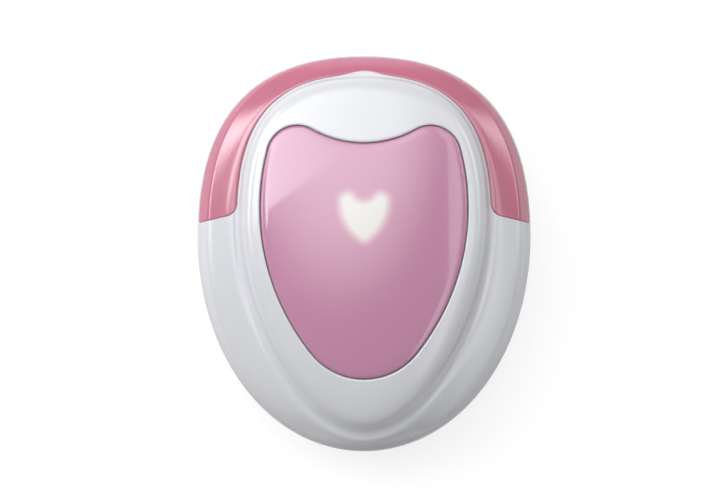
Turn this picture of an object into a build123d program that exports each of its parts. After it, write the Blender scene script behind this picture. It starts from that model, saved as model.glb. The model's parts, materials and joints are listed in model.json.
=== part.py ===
"""Pocket fetal doppler monitor, built as the separate pieces that it is assembled from.

The monitor lies on its back, on its round transducer face. +Z points out of the front, +Y to
the wide end and +X to the volume wheel. The origin is on the resting plane, under the middle
of the outline. All lengths are in millimetres.
"""

from build123d import *

import os
from dataclasses import dataclass, replace
from math import atan2, cos, degrees, hypot, radians, sin, sqrt

os.makedirs("parts", exist_ok=True)


# ---------------------------------------------------------------- driving dimensions

# Outline of the body, seen from the front
body_half_width = 44.0
body_length = 104.5
widest_line = 4.6
upper_fullness = 0.669
lower_fullness = 0.562

# Heights over the resting plane
back_height = 4.0
parting_height = 19.5
flank_rise = 8.0
crown_height = 36.5

# Front: flank, centre field and crown
crest_side_inset = 8.6
crest_top_inset = 4.2
crest_bottom_inset = 1.1
crest_middle = 8.0
crest_upper_fullness = 0.690
crest_lower_fullness = 0.500
field_foot_side_inset = 7.4
field_foot_top_inset = 3.85
field_foot_bottom_inset = 0.95
field_foot_drop = 0.5
field_head_side_inset = 14.9
field_head_top_inset = 6.75
field_head_bottom_inset = 2.25
field_head_overshoot = 1.0
field_middle = 9.0
field_upper_fullness = 0.700
field_lower_fullness = 0.481
field_wall_share = 0.5
crown_side_fall_share = 0.4
crown_end_fall_share = 0.63
crown_middle = 2.0
crown_margin = 6.0
field_edge_radius = 2.0
crease_radius = 0.8
edge_radius_limit = 0.55
crease_radius_limit = 0.22
front_side_wall = 3.6
front_crown_wall = 2.2

# Rear shell
rear_roll = 18.0
rear_roll_power = 0.8
rear_wall = 2.0
rim_width = 4.8
rim_depth = 2.2
rim_overrun = 1.0
lip_width = 1.0
lip_height = 1.5
lip_clearance = 0.15

# Pink band round the wide end
band_sink = 0.3
band_thickness = 1.5
band_gap = 0.12
band_edge_side_inset = 10.4
band_edge_top_inset = 5.05
band_edge_bottom_inset = 1.25
band_end_apex = 18.6
band_end_slope = 0.24
band_corner_radius = 2.5
band_notch_depth = 0.7
band_notch_radius = 14.0

# Heart plate
heart_side_margin = 1.5
heart_lobe_top = 33.9
heart_notch = 29.2
heart_tip = -33.3
heart_lobe_radius = 7.8
heart_flank_radius = 65.0
heart_widest = 12.0
button_gap = 0.55
button_proud = 0.3
button_travel = 0.6
button_stop_gap = 0.05
lens_thickness = 2.2
lens_edge_radius = 1.1
opening_edge_radius = 0.5
flange_width = 1.3
flange_thickness = 1.4
post_radius = 1.5
post_bottom = 22.5
post_clearance = 0.08
post_spread = 15.0
post_upper_y = 20.0
post_lower_y = -20.0

# Small lit heart
light_half_width = 7.4
light_lobe_top = 17.0
light_notch = 15.6
light_tip = 2.3
light_lobe_radius = 3.3
light_flank_radius = 15.0
light_widest = 12.2
light_depth = 3.0
light_clearance = 0.08

# Tactile switches
switch_spread = 9.0
switch_y = -6.0
switch_size = 6.0
switch_height = 3.6
plunger_radius = 1.7
plunger_top = 27.0
plunger_root = 22.6
plunger_clearance = 0.1
peg_radius = 2.1

# Circuit board
board_height = 19.0
board_thickness = 1.2
board_inset = 6.6
boss_clearance = 0.5

# Components on the board
led_spread = 3.4
led_length = 3.0
led_width = 2.8
led_height = 1.4
processor_y = -11.6
processor_size = 8.0
processor_height = 1.2
processor_legs = 8
amplifiers_at = [(-26.0, 8.0), (-26.0, -4.0)]
amplifier_width = 3.9
amplifier_length = 5.0
amplifier_height = 1.5
amplifier_legs = 4
chip_leg_pitch = 0.9
chip_leg_width = 0.4
chip_leg_length = 1.0
chip_leg_thickness = 0.3
oscillator_at = (25.0, -6.0)
oscillator_length = 11.0
oscillator_width = 4.6
oscillator_height = 3.5
capacitors_at = [(-7.0, 34.0), (0.0, 36.0), (7.0, 34.0)]
capacitor_radius = 2.5
capacitor_height = 5.4
passives_at = [(-22.0, -18.0), (25.0, 12.0)]
passive_length = 2.0
passive_width = 1.2
passive_height = 0.7
passive_columns = 3
passive_rows = 3

# Button guide frame and light shroud
frame_height = 24.6
frame_thickness = 1.2
sleeve_wall = 1.3
sleeve_drop = 8.0
shroud_wall = 1.0
shroud_margin = 1.6
shroud_gap = 0.6
frame_half_width = 20.0
frame_top = 25.0
frame_bottom = -24.5

# Transducer
transducer_y = 14.0
boss_radius = 22.5
boss_height = 1.2
boss_edge_radius = 0.9
face_radius = 20.0
face_clearance = 0.15
face_floor = 1.8
face_wall = 1.8
face_edge_radius = 1.2
face_flange_width = 2.0
face_flange_seat = 6.5
face_flange_thickness = 1.2
face_top = 9.0
crystal_radius = 13.0
crystal_thickness = 1.2
crystal_split = 1.7
divider_thickness = 1.5
cover_thickness = 0.8
ear_reach = 25.6
ear_radius = 2.8

# Battery bay, cells and contacts
cell_radius = 5.25
cell_length = 44.5
cell_nub_length = 1.0
cell_nub_radius = 1.9
cell_upper_y = -16.9
cell_pitch = 11.6
cell_height = 12.2
bay_clearance = 0.4
bay_half_length = 24.9
bay_wall = 1.5
bay_roof = 1.1
contact_thickness = 0.4
contact_size = 7.6
contact_dimple = 0.5
contact_dimple_radius = 1.6
spring_wire = 0.55
spring_foot_radius = 3.0
spring_tip_radius = 1.7
spring_turns = 3

# Battery door
door_half_width = 27.5
door_top = -10.0
door_bottom = -35.4
door_corner = 4.0
door_thickness = 1.8
door_gap = 0.3
door_knuckle_radius = 1.2
door_pin_radius = 0.8
door_pin_length = 2.0
door_pin_clearance = 0.06
door_cheek_width = 3.2
door_cheek_height = 8.0
door_seat_gap = 0.15
grip_radius = 7.0
grip_depth = 1.8
latch_width = 9.0
latch_thickness = 1.0
latch_height = 2.2
latch_root = 0.4
pad_thickness = 0.7

# Volume wheel
wheel_radius = 9.5
wheel_thickness = 3.0
wheel_bottom = 11.0
wheel_sink = 0.4
wheel_ribs = 30
wheel_gap = 0.4
shaft_radius = 1.6
shaft_clearance = 0.05
shaft_depth = 2.8
wheel_screw_depth = 3.0
pot_radius = 4.0
pot_bottom = 14.7
scoop_radius = 13.0
scoop_depth = 3.8
scoop_margin = 2.7
scoop_wall = 1.6
scoop_edge_radius = 1.5

# Headphone jacks
jack_spread = 7.5
jack_height = 15.6
jack_bore_radius = 1.8
jack_bore_length = 13.8
jack_nose_radius = 2.4
jack_nose_clearance = 0.15
jack_mouth_inset = 1.65
jack_nose_length = 3.8
jack_body_length = 10.5
jack_body_width = 7.0
jack_body_height = 5.2

# Fasteners
case_boss_radius = 3.6
case_boss_seam = 0.3
front_boss_radius = 2.9
case_screw_upper_insets = (13.0, 24.75)
case_screw_lower_spread = 18.0
case_screw_lower_inset = 11.25
case_hole_clearance = 0.2
case_screw_seat = 11.0
case_screw_end = 25.0
case_head_radius = 2.2
case_head_height = 1.7
case_shank_radius = 1.1
case_recess_clearance = 0.35
board_post_radius = 2.3
board_post_upper_spread = 16.0
board_post_upper_inset = 10.75
board_post_lower_inset = 14.2
board_post_lower_y = -17.0
board_screw_head_radius = 1.9
board_screw_head_height = 1.2
board_screw_shank_radius = 0.85
board_screw_length = 6.0
cover_screw_head_radius = 1.7
cover_screw_head_height = 1.1
cover_screw_shank_radius = 0.8
cover_screw_length = 4.2
thread_clearance = 0.02
screw_top_share = 0.7
screw_slot_length_share = 1.1
screw_slot_width_share = 0.28
screw_slot_depth_share = 0.6

# Leads
cover_leads_x = (-8.0, 8.0)
transducer_lead_shift = 5.0
lead_radius = 0.45
lead_bend = 1.0
lead_hole_radius = 0.7
battery_lead_x = 27.3
battery_lead_height = 14.5
battery_lead_offset = 3.0

# ---------------------------------------------------------------- derived sizes

body_top = body_length / 2
body_bottom = -body_length / 2
board_top = board_height + board_thickness
crest_height = parting_height + flank_rise
field_height = crown_height - crest_height
field_head_half_width = body_half_width - field_head_side_inset
field_head_top = body_top - field_head_top_inset
field_head_bottom = body_bottom + field_head_bottom_inset
crown_side_fall = crown_side_fall_share * field_height
crown_end_fall = crown_end_fall_share * field_height
crown_reach = crown_middle - field_head_bottom
crown_radius_across = (field_head_half_width**2 + crown_side_fall**2) / (2 * crown_side_fall)
crown_radius_along = (crown_reach**2 + crown_end_fall**2) / (2 * crown_end_fall)
field_wall_height = field_height - crown_end_fall + field_foot_drop
sleeve_top = crown_height - sleeve_drop
band_edge_half_width = body_half_width - band_edge_side_inset
band_edge_top = body_top - band_edge_top_inset
band_edge_bottom = body_bottom + band_edge_bottom_inset
heart_half_width = field_head_half_width - heart_side_margin
jack_mouth_y = body_bottom + jack_mouth_inset
jack_body_front = jack_mouth_y + jack_nose_length
jack_body_back = jack_body_front + jack_body_length
case_screw_upper = (body_half_width - case_screw_upper_insets[0], body_top - case_screw_upper_insets[1])
case_screw_lower = (case_screw_lower_spread, body_bottom + case_screw_lower_inset)
board_post_upper = (board_post_upper_spread, body_top - board_post_upper_inset)
board_post_lower = (body_half_width - board_post_lower_inset, board_post_lower_y)
cell_lower_y = cell_upper_y - cell_pitch
bay_radius = cell_radius + bay_clearance
bay_top = cell_height + bay_radius
wheel_x = body_half_width - wheel_sink - wheel_radius
wheel_y = widest_line
wheel_top = wheel_bottom + wheel_thickness
case_screws_at = [(side * x, y) for x, y in (case_screw_upper, case_screw_lower) for side in (-1, 1)]
board_posts_at = [(side * x, y) for x, y in (board_post_upper, board_post_lower) for side in (-1, 1)]
button_posts_at = [(-post_spread, post_upper_y), (post_spread, post_upper_y), (0, post_lower_y)]
switches_at = [(-switch_spread, switch_y), (switch_spread, switch_y)]
jacks_at = {"left": -jack_spread, "right": jack_spread}
cutter = 100.0
on_base = (Align.CENTER, Align.CENTER, Align.MIN)
under_top = (Align.CENTER, Align.CENTER, Align.MAX)


# ---------------------------------------------------------------- shared shapes


@dataclass(frozen=True)
class Egg:
    """A closed oval of four cubic curves, wide above its middle line and narrow below it."""

    half_width: float
    top: float
    bottom: float
    middle: float
    upper: float
    lower: float

    def inset(self, by):
        """The same oval with its reach cut back by a distance on every side."""
        shorter = {"top": self.top - by, "bottom": self.bottom + by}
        return replace(self, half_width=self.half_width - by, **shorter)

    def toward(self, other, share):
        """The oval part of the way from this one to another."""
        pairs = zip(self.values(), other.values())
        return Egg(*(a + (b - a) * share for a, b in pairs))

    def values(self):
        """The six sizes in order."""
        return (self.half_width, self.top, self.bottom, self.middle, self.upper, self.lower)

    def face(self):
        """The oval as a flat face."""
        width, middle = self.half_width, self.middle
        rise = self.upper * (self.top - middle)
        fall = self.lower * (middle - self.bottom)
        right = (width, middle)
        with BuildSketch() as sketch:
            with BuildLine():
                Bezier(right, (width, middle + rise), (self.upper * width, self.top), (0, self.top))
                Bezier((0, self.bottom), (self.lower * width, self.bottom), (width, middle - fall), right)
                mirror(about=Plane.YZ)
            make_face()
        return sketch.sketch


@dataclass(frozen=True)
class Heart:
    """A broad heart made of tangent arcs: notch, two lobes, two flanks and a round tip."""

    half_width: float
    lobe_top: float
    notch: float
    tip: float
    lobe_radius: float
    flank_radius: float
    widest: float

    def face(self, grow=0.0):
        """The heart as a flat face, grown by a distance on every side."""
        flank = (self.half_width - self.flank_radius, self.widest)
        lobe_y = self.lobe_top - self.lobe_radius
        lobe_x = flank[0] + sqrt((self.flank_radius - self.lobe_radius) ** 2 - (lobe_y - self.widest) ** 2)
        fall = self.widest - self.tip
        tip_radius = (self.flank_radius**2 - flank[0] ** 2 - fall**2) / (2 * (self.flank_radius - fall))
        sag = self.notch - lobe_y
        notch_radius = (lobe_x**2 + sag**2 - self.lobe_radius**2) / (2 * (self.lobe_radius - sag))
        lobe = (lobe_x, lobe_y)
        tip = (0.0, self.tip + tip_radius)
        notch = (0.0, self.notch + notch_radius)
        start = (0.0, self.notch + grow)
        onto_lobe = beyond(notch, lobe, notch_radius - grow)
        onto_flank = beyond(flank, lobe, self.flank_radius + grow)
        onto_tip = beyond(flank, tip, self.flank_radius + grow)
        end = (0.0, self.tip - grow)
        with BuildSketch() as sketch:
            with BuildLine():
                ThreePointArc(start, arc_middle(notch, start, onto_lobe), onto_lobe)
                ThreePointArc(onto_lobe, arc_middle(lobe, onto_lobe, onto_flank), onto_flank)
                ThreePointArc(onto_flank, arc_middle(flank, onto_flank, onto_tip), onto_tip)
                ThreePointArc(onto_tip, arc_middle(tip, onto_tip, end), end)
                mirror(about=Plane.YZ)
            make_face()
        return sketch.sketch


def beyond(centre, through, distance):
    """The point at a distance from a centre, on the line through another point."""
    dx, dy = through[0] - centre[0], through[1] - centre[1]
    scale = distance / hypot(dx, dy)
    return (centre[0] + dx * scale, centre[1] + dy * scale)


def arc_middle(centre, start, end):
    """The middle point of the short arc about a centre from start to end."""
    radius = hypot(start[0] - centre[0], start[1] - centre[1])
    return beyond(centre, ((start[0] + end[0]) / 2, (start[1] + end[1]) / 2), radius)


def crown(drop):
    """Everything under the front's doubly curved crown, lowered by a distance."""
    axis_height = crown_height - drop - crown_radius_along
    reach = body_half_width + crown_margin
    sag = crown_radius_across - sqrt(crown_radius_across**2 - reach**2)
    inner = -(crown_radius_along - reach)
    side = -(crown_radius_along - sag)
    plane = Plane(origin=(0, crown_middle, axis_height), x_dir=(1, 0, 0), z_dir=(0, -1, 0))
    with BuildPart() as solid:
        with BuildSketch(plane):
            with BuildLine():
                ThreePointArc((-reach, side), (0, -crown_radius_along), (reach, side))
                Polyline((reach, side), (reach, inner), (-reach, inner), (-reach, side))
            make_face()
        revolve(axis=Axis((0, crown_middle, axis_height), (1, 0, 0)))
    return solid.part


def crown_at(x, y, drop):
    """The crown's height over a point of the plan, lowered by a distance."""
    across = crown_radius_along - (crown_radius_across - sqrt(crown_radius_across**2 - x**2))
    return crown_height - drop - crown_radius_along + sqrt(across**2 - (y - crown_middle) ** 2)


def front_form(depth, crown_drop, edge_radius=0.0):
    """The front's outer form, or the same form a wall's thickness further in."""
    rise = flank_rise - depth
    with BuildPart() as form:
        for turn in (0, 22.5, 45, 67.5, 90):
            oval = rim.toward(crest, 1 - cos(radians(turn))).inset(depth)
            with BuildSketch(Plane.XY.offset(parting_height + rise * sin(radians(turn)))):
                add(oval.face())
        loft()
        field_inset = depth * field_wall_share
        with BuildSketch(Plane.XY.offset(crest_height - field_foot_drop - depth)):
            add(field_foot.inset(field_inset).face())
        with BuildSketch(Plane.XY.offset(crown_height + field_head_overshoot - depth)):
            add(field_head.inset(field_inset).face())
        loft()
        add(crown(crown_drop), mode=Mode.INTERSECT)
        if edge_radius > 0:
            edge_limit = edge_radius_limit * field_wall_height
            fillet(form.faces().sort_by(Axis.Z)[-1].edges(), radius=min(edge_radius, edge_limit))
            low, high = crest_height - 2 * field_foot_drop - depth, crest_height - depth + field_foot_drop
            creases = form.edges().filter_by(lambda e: low < e.center().Z < high)
            creases = creases.filter_by(lambda e: e.length > body_half_width)
            fillet(creases, radius=min(crease_radius, crease_radius_limit * field_wall_height))
    return form.part


def rear_form(depth):
    """The rear shell's outer form, or the same form a wall's thickness further in."""
    fall = parting_height - back_height - depth
    with BuildPart() as form:
        for turn in (0, 30, 50, 65, 78, 90):
            inset = rear_roll * (1 - max(cos(radians(turn)), 0.0) ** rear_roll_power)
            drop = fall * sin(radians(turn)) ** rear_roll_power
            with BuildSketch(Plane.XY.offset(parting_height - drop)):
                add(rim.inset(depth + inset).face())
        loft()
    return form.part


def prism(face, low, high):
    """A flat face drawn out between two heights."""
    with BuildPart() as solid:
        with BuildSketch(Plane.XY.offset(low)):
            add(face)
        extrude(amount=high - low)
    return solid.part


def heart_plate(outline, grow, top_drop, bottom_drop):
    """A heart-shaped plate between two heights of the crown."""
    with BuildPart() as plate:
        add(prism(outline.face(grow), parting_height, crown_height + flank_rise))
        add(crown(top_drop), mode=Mode.INTERSECT)
        add(crown(bottom_drop), mode=Mode.SUBTRACT)
    return plate.part


def screw(head_radius, head_height, shank_radius, length):
    """A pan-head screw standing on its head's underside, with its shank pointing down."""
    top_radius = head_radius * screw_top_share
    slot_length = head_radius * screw_slot_length_share
    slot_width = head_radius * screw_slot_width_share
    with BuildPart() as body:
        with BuildSketch(Plane.XZ):
            with BuildLine():
                Polyline((0, head_height), (top_radius, head_height), (head_radius, head_height / 2))
                Line((head_radius, head_height / 2), (head_radius, 0))
                Polyline((head_radius, 0), (shank_radius, 0), (shank_radius, shank_radius - length))
                Polyline((shank_radius, shank_radius - length), (0, -length), (0, head_height))
            make_face()
        revolve(axis=Axis.Z)
        with BuildSketch(Plane.XY.offset(head_height)):
            Rectangle(slot_length, slot_width)
            Rectangle(slot_width, slot_length)
        extrude(amount=-head_height * screw_slot_depth_share, mode=Mode.SUBTRACT)
    return body.part


def band_region(grow=0.0):
    """The plan of the band: outside the centre field's edge and above its two slanted ends."""
    apex = band_end_apex - grow
    reach = body_length
    edge = replace(field_head, half_width=band_edge_half_width, top=band_edge_top, bottom=band_edge_bottom)
    with BuildSketch() as region:
        with BuildLine():
            Polyline((0, apex), (reach, apex - band_end_slope * reach), (reach, reach), (-reach, reach))
            Polyline((-reach, reach), (-reach, apex - band_end_slope * reach), (0, apex))
        make_face()
        add(edge.inset(grow).face(), mode=Mode.SUBTRACT)
        corners = region.vertices().filter_by(lambda v: 0 < abs(v.X) < body_half_width and v.Y < apex)
        fillet(corners, radius=band_corner_radius)
    return region.sketch


rim = Egg(body_half_width, body_top, body_bottom, widest_line, upper_fullness, lower_fullness)
crest = Egg(
    body_half_width - crest_side_inset,
    body_top - crest_top_inset,
    body_bottom + crest_bottom_inset,
    crest_middle,
    crest_upper_fullness,
    crest_lower_fullness,
)
field_foot = replace(
    crest,
    half_width=body_half_width - field_foot_side_inset,
    top=body_top - field_foot_top_inset,
    bottom=body_bottom + field_foot_bottom_inset,
)
field_head = Egg(
    field_head_half_width,
    field_head_top,
    field_head_bottom,
    field_middle,
    field_upper_fullness,
    field_lower_fullness,
)
heart = Heart(
    heart_half_width,
    heart_lobe_top,
    heart_notch,
    heart_tip,
    heart_lobe_radius,
    heart_flank_radius,
    heart_widest,
)
light = Heart(
    light_half_width,
    light_lobe_top,
    light_notch,
    light_tip,
    light_lobe_radius,
    light_flank_radius,
    light_widest,
)
band_seat = band_sink + band_thickness + band_gap


def finish(piece, name):
    """Label a finished piece and write it to its STEP file."""
    piece.part.label = name
    export_step(piece.part, f"parts/{name}.step")


# ---------------------------------------------------------------- front housing

with BuildSketch() as front_bosses:
    with Locations(*case_screws_at):
        Circle(front_boss_radius)

with BuildPart() as front_cavity:
    add(front_form(front_side_wall, front_crown_wall))
    add(prism(front_bosses.sketch, parting_height + case_boss_seam, crown_height), mode=Mode.SUBTRACT)

with BuildPart() as band_seat_cut:
    add(prism(band_region(band_gap), parting_height, crown_height))
    add(front_form(band_seat, band_seat), mode=Mode.SUBTRACT)

with BuildPart() as front_housing:
    add(front_form(0.0, 0.0, field_edge_radius))
    add(prism(heart.face(button_gap), parting_height, crown_height + 1), mode=Mode.SUBTRACT)
    fillet(front_housing.faces().sort_by(Axis.Z)[-1].inner_wires()[0].edges(), radius=opening_edge_radius)
    add(band_seat_cut.part, mode=Mode.SUBTRACT)
    add(front_cavity.part, mode=Mode.SUBTRACT)
    with BuildSketch(Plane.XY.offset(parting_height)):
        add(rim.inset(rim_width - lip_width - lip_clearance).face())
        add(front_bosses.sketch, mode=Mode.SUBTRACT)
    extrude(amount=lip_height + lip_clearance, mode=Mode.SUBTRACT)
    with Locations(*[(x, y, parting_height) for x, y in case_screws_at]):
        Cylinder(
            case_shank_radius + thread_clearance,
            case_screw_end + 1 - parting_height,
            align=on_base,
            mode=Mode.SUBTRACT,
        )
finish(front_housing, "front_housing")


# ---------------------------------------------------------------- pink band

with BuildPart() as upper_band:
    add(front_form(band_sink, band_sink, field_edge_radius))
    add(front_form(band_sink + band_thickness, band_sink + band_thickness), mode=Mode.SUBTRACT)
    add(prism(band_region(), parting_height + band_gap, crown_height), mode=Mode.INTERSECT)
    with Locations((0, band_edge_top, crown_at(0, band_edge_top, band_notch_depth) + band_notch_radius)):
        Sphere(band_notch_radius, mode=Mode.SUBTRACT)
finish(upper_band, "upper_band")


# ---------------------------------------------------------------- rear housing

bay_end_walls = bay_half_length + bay_wall
bay_upper_wall = cell_upper_y + bay_radius
bay_lower_wall = cell_lower_y - bay_radius
hinge_y = door_top - door_knuckle_radius
hinge_height = back_height + door_knuckle_radius
latch_y = bay_lower_wall + door_gap + latch_thickness / 2
ears_at = [
    (ear_reach * cos(radians(turn)), transducer_y + ear_reach * sin(radians(turn))) for turn in (90, 210, 330)
]
scoop_x = wheel_x + wheel_radius - scoop_depth + scoop_radius
scoop_low = wheel_bottom - scoop_margin
scoop_high = wheel_top + scoop_margin

with BuildPart() as rear_fill:
    with BuildSketch(Plane.XY.offset(parting_height - rim_depth)):
        add(rim.inset(-rim_overrun).face())
        add(rim.inset(rim_width).face(), mode=Mode.SUBTRACT)
    extrude(amount=rim_depth)
    with BuildSketch():
        with Locations((0, (bay_upper_wall + bay_lower_wall) / 2)):
            Rectangle(2 * bay_end_walls, bay_upper_wall - bay_lower_wall + 2 * bay_wall)
    extrude(amount=bay_top + bay_roof)
    with BuildSketch():
        with Locations((0, hinge_y)):
            Rectangle(2 * (door_half_width + door_cheek_width), 2 * door_cheek_width)
    extrude(amount=door_cheek_height)
    with BuildSketch():
        with Locations((0, transducer_y)):
            Circle(boss_radius)
    extrude(amount=face_flange_seat)
    with BuildSketch():
        with Locations(*ears_at):
            Circle(ear_radius - boss_clearance)
    extrude(amount=face_top)
    with BuildSketch():
        with Locations(*board_posts_at):
            Circle(board_post_radius)
    extrude(amount=board_height)
    with BuildSketch():
        with Locations(*case_screws_at):
            Circle(case_boss_radius)
    extrude(amount=parting_height)
    with BuildSketch(Plane.XY.offset(scoop_low - scoop_wall)):
        with Locations((scoop_x, wheel_y)):
            Circle(scoop_radius + scoop_wall)
    extrude(amount=scoop_high - scoop_low + 2 * scoop_wall)

with BuildPart() as rear_cavity:
    add(rear_form(rear_wall))
    add(rear_fill.part, mode=Mode.SUBTRACT)

with BuildPart() as door_outline:
    with BuildSketch():
        with Locations((0, (door_top + door_bottom) / 2)):
            RectangleRounded(2 * door_half_width, door_top - door_bottom, door_corner)
    extrude(amount=parting_height)

with BuildPart() as door_recess:
    with BuildSketch():
        with Locations((0, (door_top + door_bottom) / 2)):
            RectangleRounded(
                2 * (door_half_width + door_gap),
                door_top - door_bottom + 2 * door_gap,
                door_corner + door_gap,
            )
    extrude(amount=parting_height)
    add(rear_form(door_thickness + door_seat_gap), mode=Mode.SUBTRACT)

with BuildPart() as bay_cut:
    for y in (cell_upper_y, cell_lower_y):
        with Locations((0, y, cell_height)):
            Cylinder(bay_radius, 2 * bay_half_length, rotation=(0, 90, 0))
    with Locations((0, (bay_upper_wall + bay_lower_wall) / 2, 0)):
        Box(
            2 * bay_half_length,
            bay_upper_wall - bay_lower_wall,
            cell_height,
            align=on_base,
        )

with BuildPart() as scoop_cut:
    with BuildSketch(Plane.XY.offset(scoop_low)):
        with Locations((scoop_x, wheel_y)):
            Circle(scoop_radius)
    extrude(amount=scoop_high - scoop_low)
    fillet(scoop_cut.edges(), radius=scoop_edge_radius)

with BuildPart() as rear_housing:
    add(rear_form(0.0))
    with BuildSketch(Plane.XY.offset(boss_height)):
        with Locations((0, transducer_y)):
            Circle(boss_radius)
    extrude(amount=back_height + rear_wall / 2 - boss_height)
    fillet(rear_housing.faces().sort_by(Axis.Z)[0].edges(), radius=boss_edge_radius)
    add(rear_cavity.part, mode=Mode.SUBTRACT)
    with BuildSketch(Plane.XY.offset(parting_height)):
        add(rim.inset(rim_width - lip_width).face())
        add(rim.inset(rim_width).face(), mode=Mode.SUBTRACT)
        with Locations(*case_screws_at):
            Circle(front_boss_radius + case_boss_seam, mode=Mode.SUBTRACT)
    extrude(amount=lip_height)
    for cut in (door_recess, bay_cut, scoop_cut):
        add(cut.part, mode=Mode.SUBTRACT)
    with BuildSketch():
        with Locations((0, transducer_y)):
            Circle(face_radius + face_clearance)
    extrude(amount=face_flange_seat, mode=Mode.SUBTRACT)
    with Locations((0, hinge_y, hinge_height)):
        Cylinder(
            door_knuckle_radius + door_gap,
            2 * (door_half_width + door_gap),
            rotation=(0, 90, 0),
            mode=Mode.SUBTRACT,
        )
        Cylinder(
            door_pin_radius + door_pin_clearance,
            2 * (door_half_width + door_pin_length + door_gap),
            rotation=(0, 90, 0),
            mode=Mode.SUBTRACT,
        )
    with BuildSketch(Plane.XY.offset(wheel_bottom - wheel_gap)):
        with Locations((wheel_x, wheel_y)):
            Circle(wheel_radius + wheel_gap)
    extrude(amount=wheel_thickness + 2 * wheel_gap, mode=Mode.SUBTRACT)
    for jack_x in jacks_at.values():
        outside = (jack_x, body_bottom - 1, jack_height)
        with BuildSketch(Plane(origin=outside, x_dir=(1, 0, 0), z_dir=(0, 1, 0))):
            Circle(jack_nose_radius + jack_nose_clearance)
        extrude(amount=jack_body_front + 1 - body_bottom + rim_width, mode=Mode.SUBTRACT)
        with Locations((jack_x, (jack_body_front + jack_body_back) / 2, jack_height)):
            Box(
                jack_body_width + 2 * jack_nose_clearance,
                jack_body_back - jack_body_front + 2 * jack_nose_clearance,
                jack_body_height + 2 * jack_nose_clearance,
                mode=Mode.SUBTRACT,
            )
    with Locations(*[(x, y, 0) for x, y in case_screws_at]):
        Cylinder(
            case_head_radius + case_recess_clearance,
            case_screw_seat,
            align=on_base,
            mode=Mode.SUBTRACT,
        )
        Cylinder(
            case_shank_radius + case_hole_clearance,
            parting_height,
            align=on_base,
            mode=Mode.SUBTRACT,
        )
    with Locations(*[(x, y, board_height) for x, y in board_posts_at]):
        Cylinder(
            board_screw_shank_radius + thread_clearance,
            board_screw_length - board_thickness + boss_clearance,
            align=under_top,
            mode=Mode.SUBTRACT,
        )
    with Locations(*[(x, y, face_top) for x, y in ears_at]):
        Cylinder(
            cover_screw_shank_radius + thread_clearance,
            cover_screw_length,
            align=under_top,
            mode=Mode.SUBTRACT,
        )
    for lead_y in (cell_upper_y + battery_lead_offset, cell_lower_y):
        with Locations((bay_half_length, lead_y, battery_lead_height)):
            Cylinder(
                lead_hole_radius,
                2 * bay_wall,
                rotation=(0, 90, 0),
                mode=Mode.SUBTRACT,
            )
    with Locations((0, door_bottom - door_gap, back_height - grip_radius + grip_depth)):
        Sphere(grip_radius, mode=Mode.SUBTRACT)
finish(rear_housing, "rear_housing")


# ---------------------------------------------------------------- battery door

with BuildPart() as battery_door:
    add(rear_form(0.0))
    add(rear_form(door_thickness), mode=Mode.SUBTRACT)
    add(door_outline.part, mode=Mode.INTERSECT)
    with Locations((0, hinge_y + cutter / 2, 0)):
        Box(cutter, cutter, cutter, mode=Mode.SUBTRACT)
    with Locations((0, hinge_y, hinge_height)):
        Cylinder(door_knuckle_radius, 2 * door_half_width, rotation=(0, 90, 0))
        Cylinder(door_pin_radius, 2 * (door_half_width + door_pin_length), rotation=(0, 90, 0))
    with Locations((0, latch_y, back_height + door_thickness - latch_root)):
        Box(latch_width, latch_thickness, latch_height + latch_root, align=on_base)
finish(battery_door, "battery_door")

with BuildPart() as battery_pad:
    with Locations((0, (cell_upper_y + cell_lower_y) / 2, back_height + door_thickness)):
        Box(2 * cell_pitch, cell_pitch, pad_thickness, align=on_base)
finish(battery_pad, "battery_pad")


# ---------------------------------------------------------------- heart button

lens_drop = lens_thickness - button_proud
flange_drop = front_crown_wall + button_stop_gap
carrier_drop = flange_drop + flange_thickness
post_top_drop = (lens_drop + carrier_drop) / 2
guide_drop = lens_drop + light_depth

with BuildPart() as heart_button_lens:
    add(heart_plate(heart, 0.0, -button_proud, lens_drop))
    fillet(heart_button_lens.faces().sort_by(Axis.Z)[-1].edges(), radius=lens_edge_radius)
finish(heart_button_lens, "heart_button_lens")

with BuildPart() as heart_button_carrier:
    add(heart_plate(heart, 0.0, lens_drop, carrier_drop))
    add(heart_plate(heart, button_gap + flange_width, flange_drop, carrier_drop))
    with BuildSketch(Plane.XY.offset(parting_height)):
        with Locations(*case_screws_at):
            Circle(front_boss_radius + boss_clearance)
    extrude(amount=crown_height - parting_height, mode=Mode.SUBTRACT)
    for x, y in button_posts_at:
        with BuildSketch(Plane.XY.offset(post_bottom)):
            with Locations((x, y)):
                Circle(post_radius)
        extrude(amount=crown_at(x, y, post_top_drop) - post_bottom)
    for x, y in switches_at:
        with BuildSketch(Plane.XY.offset(plunger_top)):
            with Locations((x, y)):
                Circle(peg_radius)
        extrude(amount=crown_at(x, y, post_top_drop) - plunger_top)
    add(prism(light.face(light_clearance), parting_height, crown_height), mode=Mode.SUBTRACT)
finish(heart_button_carrier, "heart_button_carrier")

with BuildPart() as heart_light_guide:
    add(heart_plate(light, 0.0, lens_drop, guide_drop))
finish(heart_light_guide, "heart_light_guide")

with BuildPart() as tact_switch_plungers:
    with BuildSketch(Plane.XY.offset(plunger_root)):
        with Locations(*switches_at):
            Circle(plunger_radius)
    extrude(amount=plunger_top - plunger_root)
finish(tact_switch_plungers, "tact_switch_plungers")

with BuildPart() as tact_switch_bodies:
    with BuildSketch(Plane.XY.offset(board_top)):
        with Locations(*switches_at):
            Rectangle(switch_size, switch_size)
    extrude(amount=switch_height)
    chamfer(tact_switch_bodies.edges().filter_by(Axis.Z), length=switch_size / 10)
    with BuildSketch(Plane.XY.offset(plunger_root - button_travel - plunger_clearance)):
        with Locations(*switches_at):
            Circle(plunger_radius + plunger_clearance)
    extrude(amount=switch_height, mode=Mode.SUBTRACT)
finish(tact_switch_bodies, "tact_switch_bodies")

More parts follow.
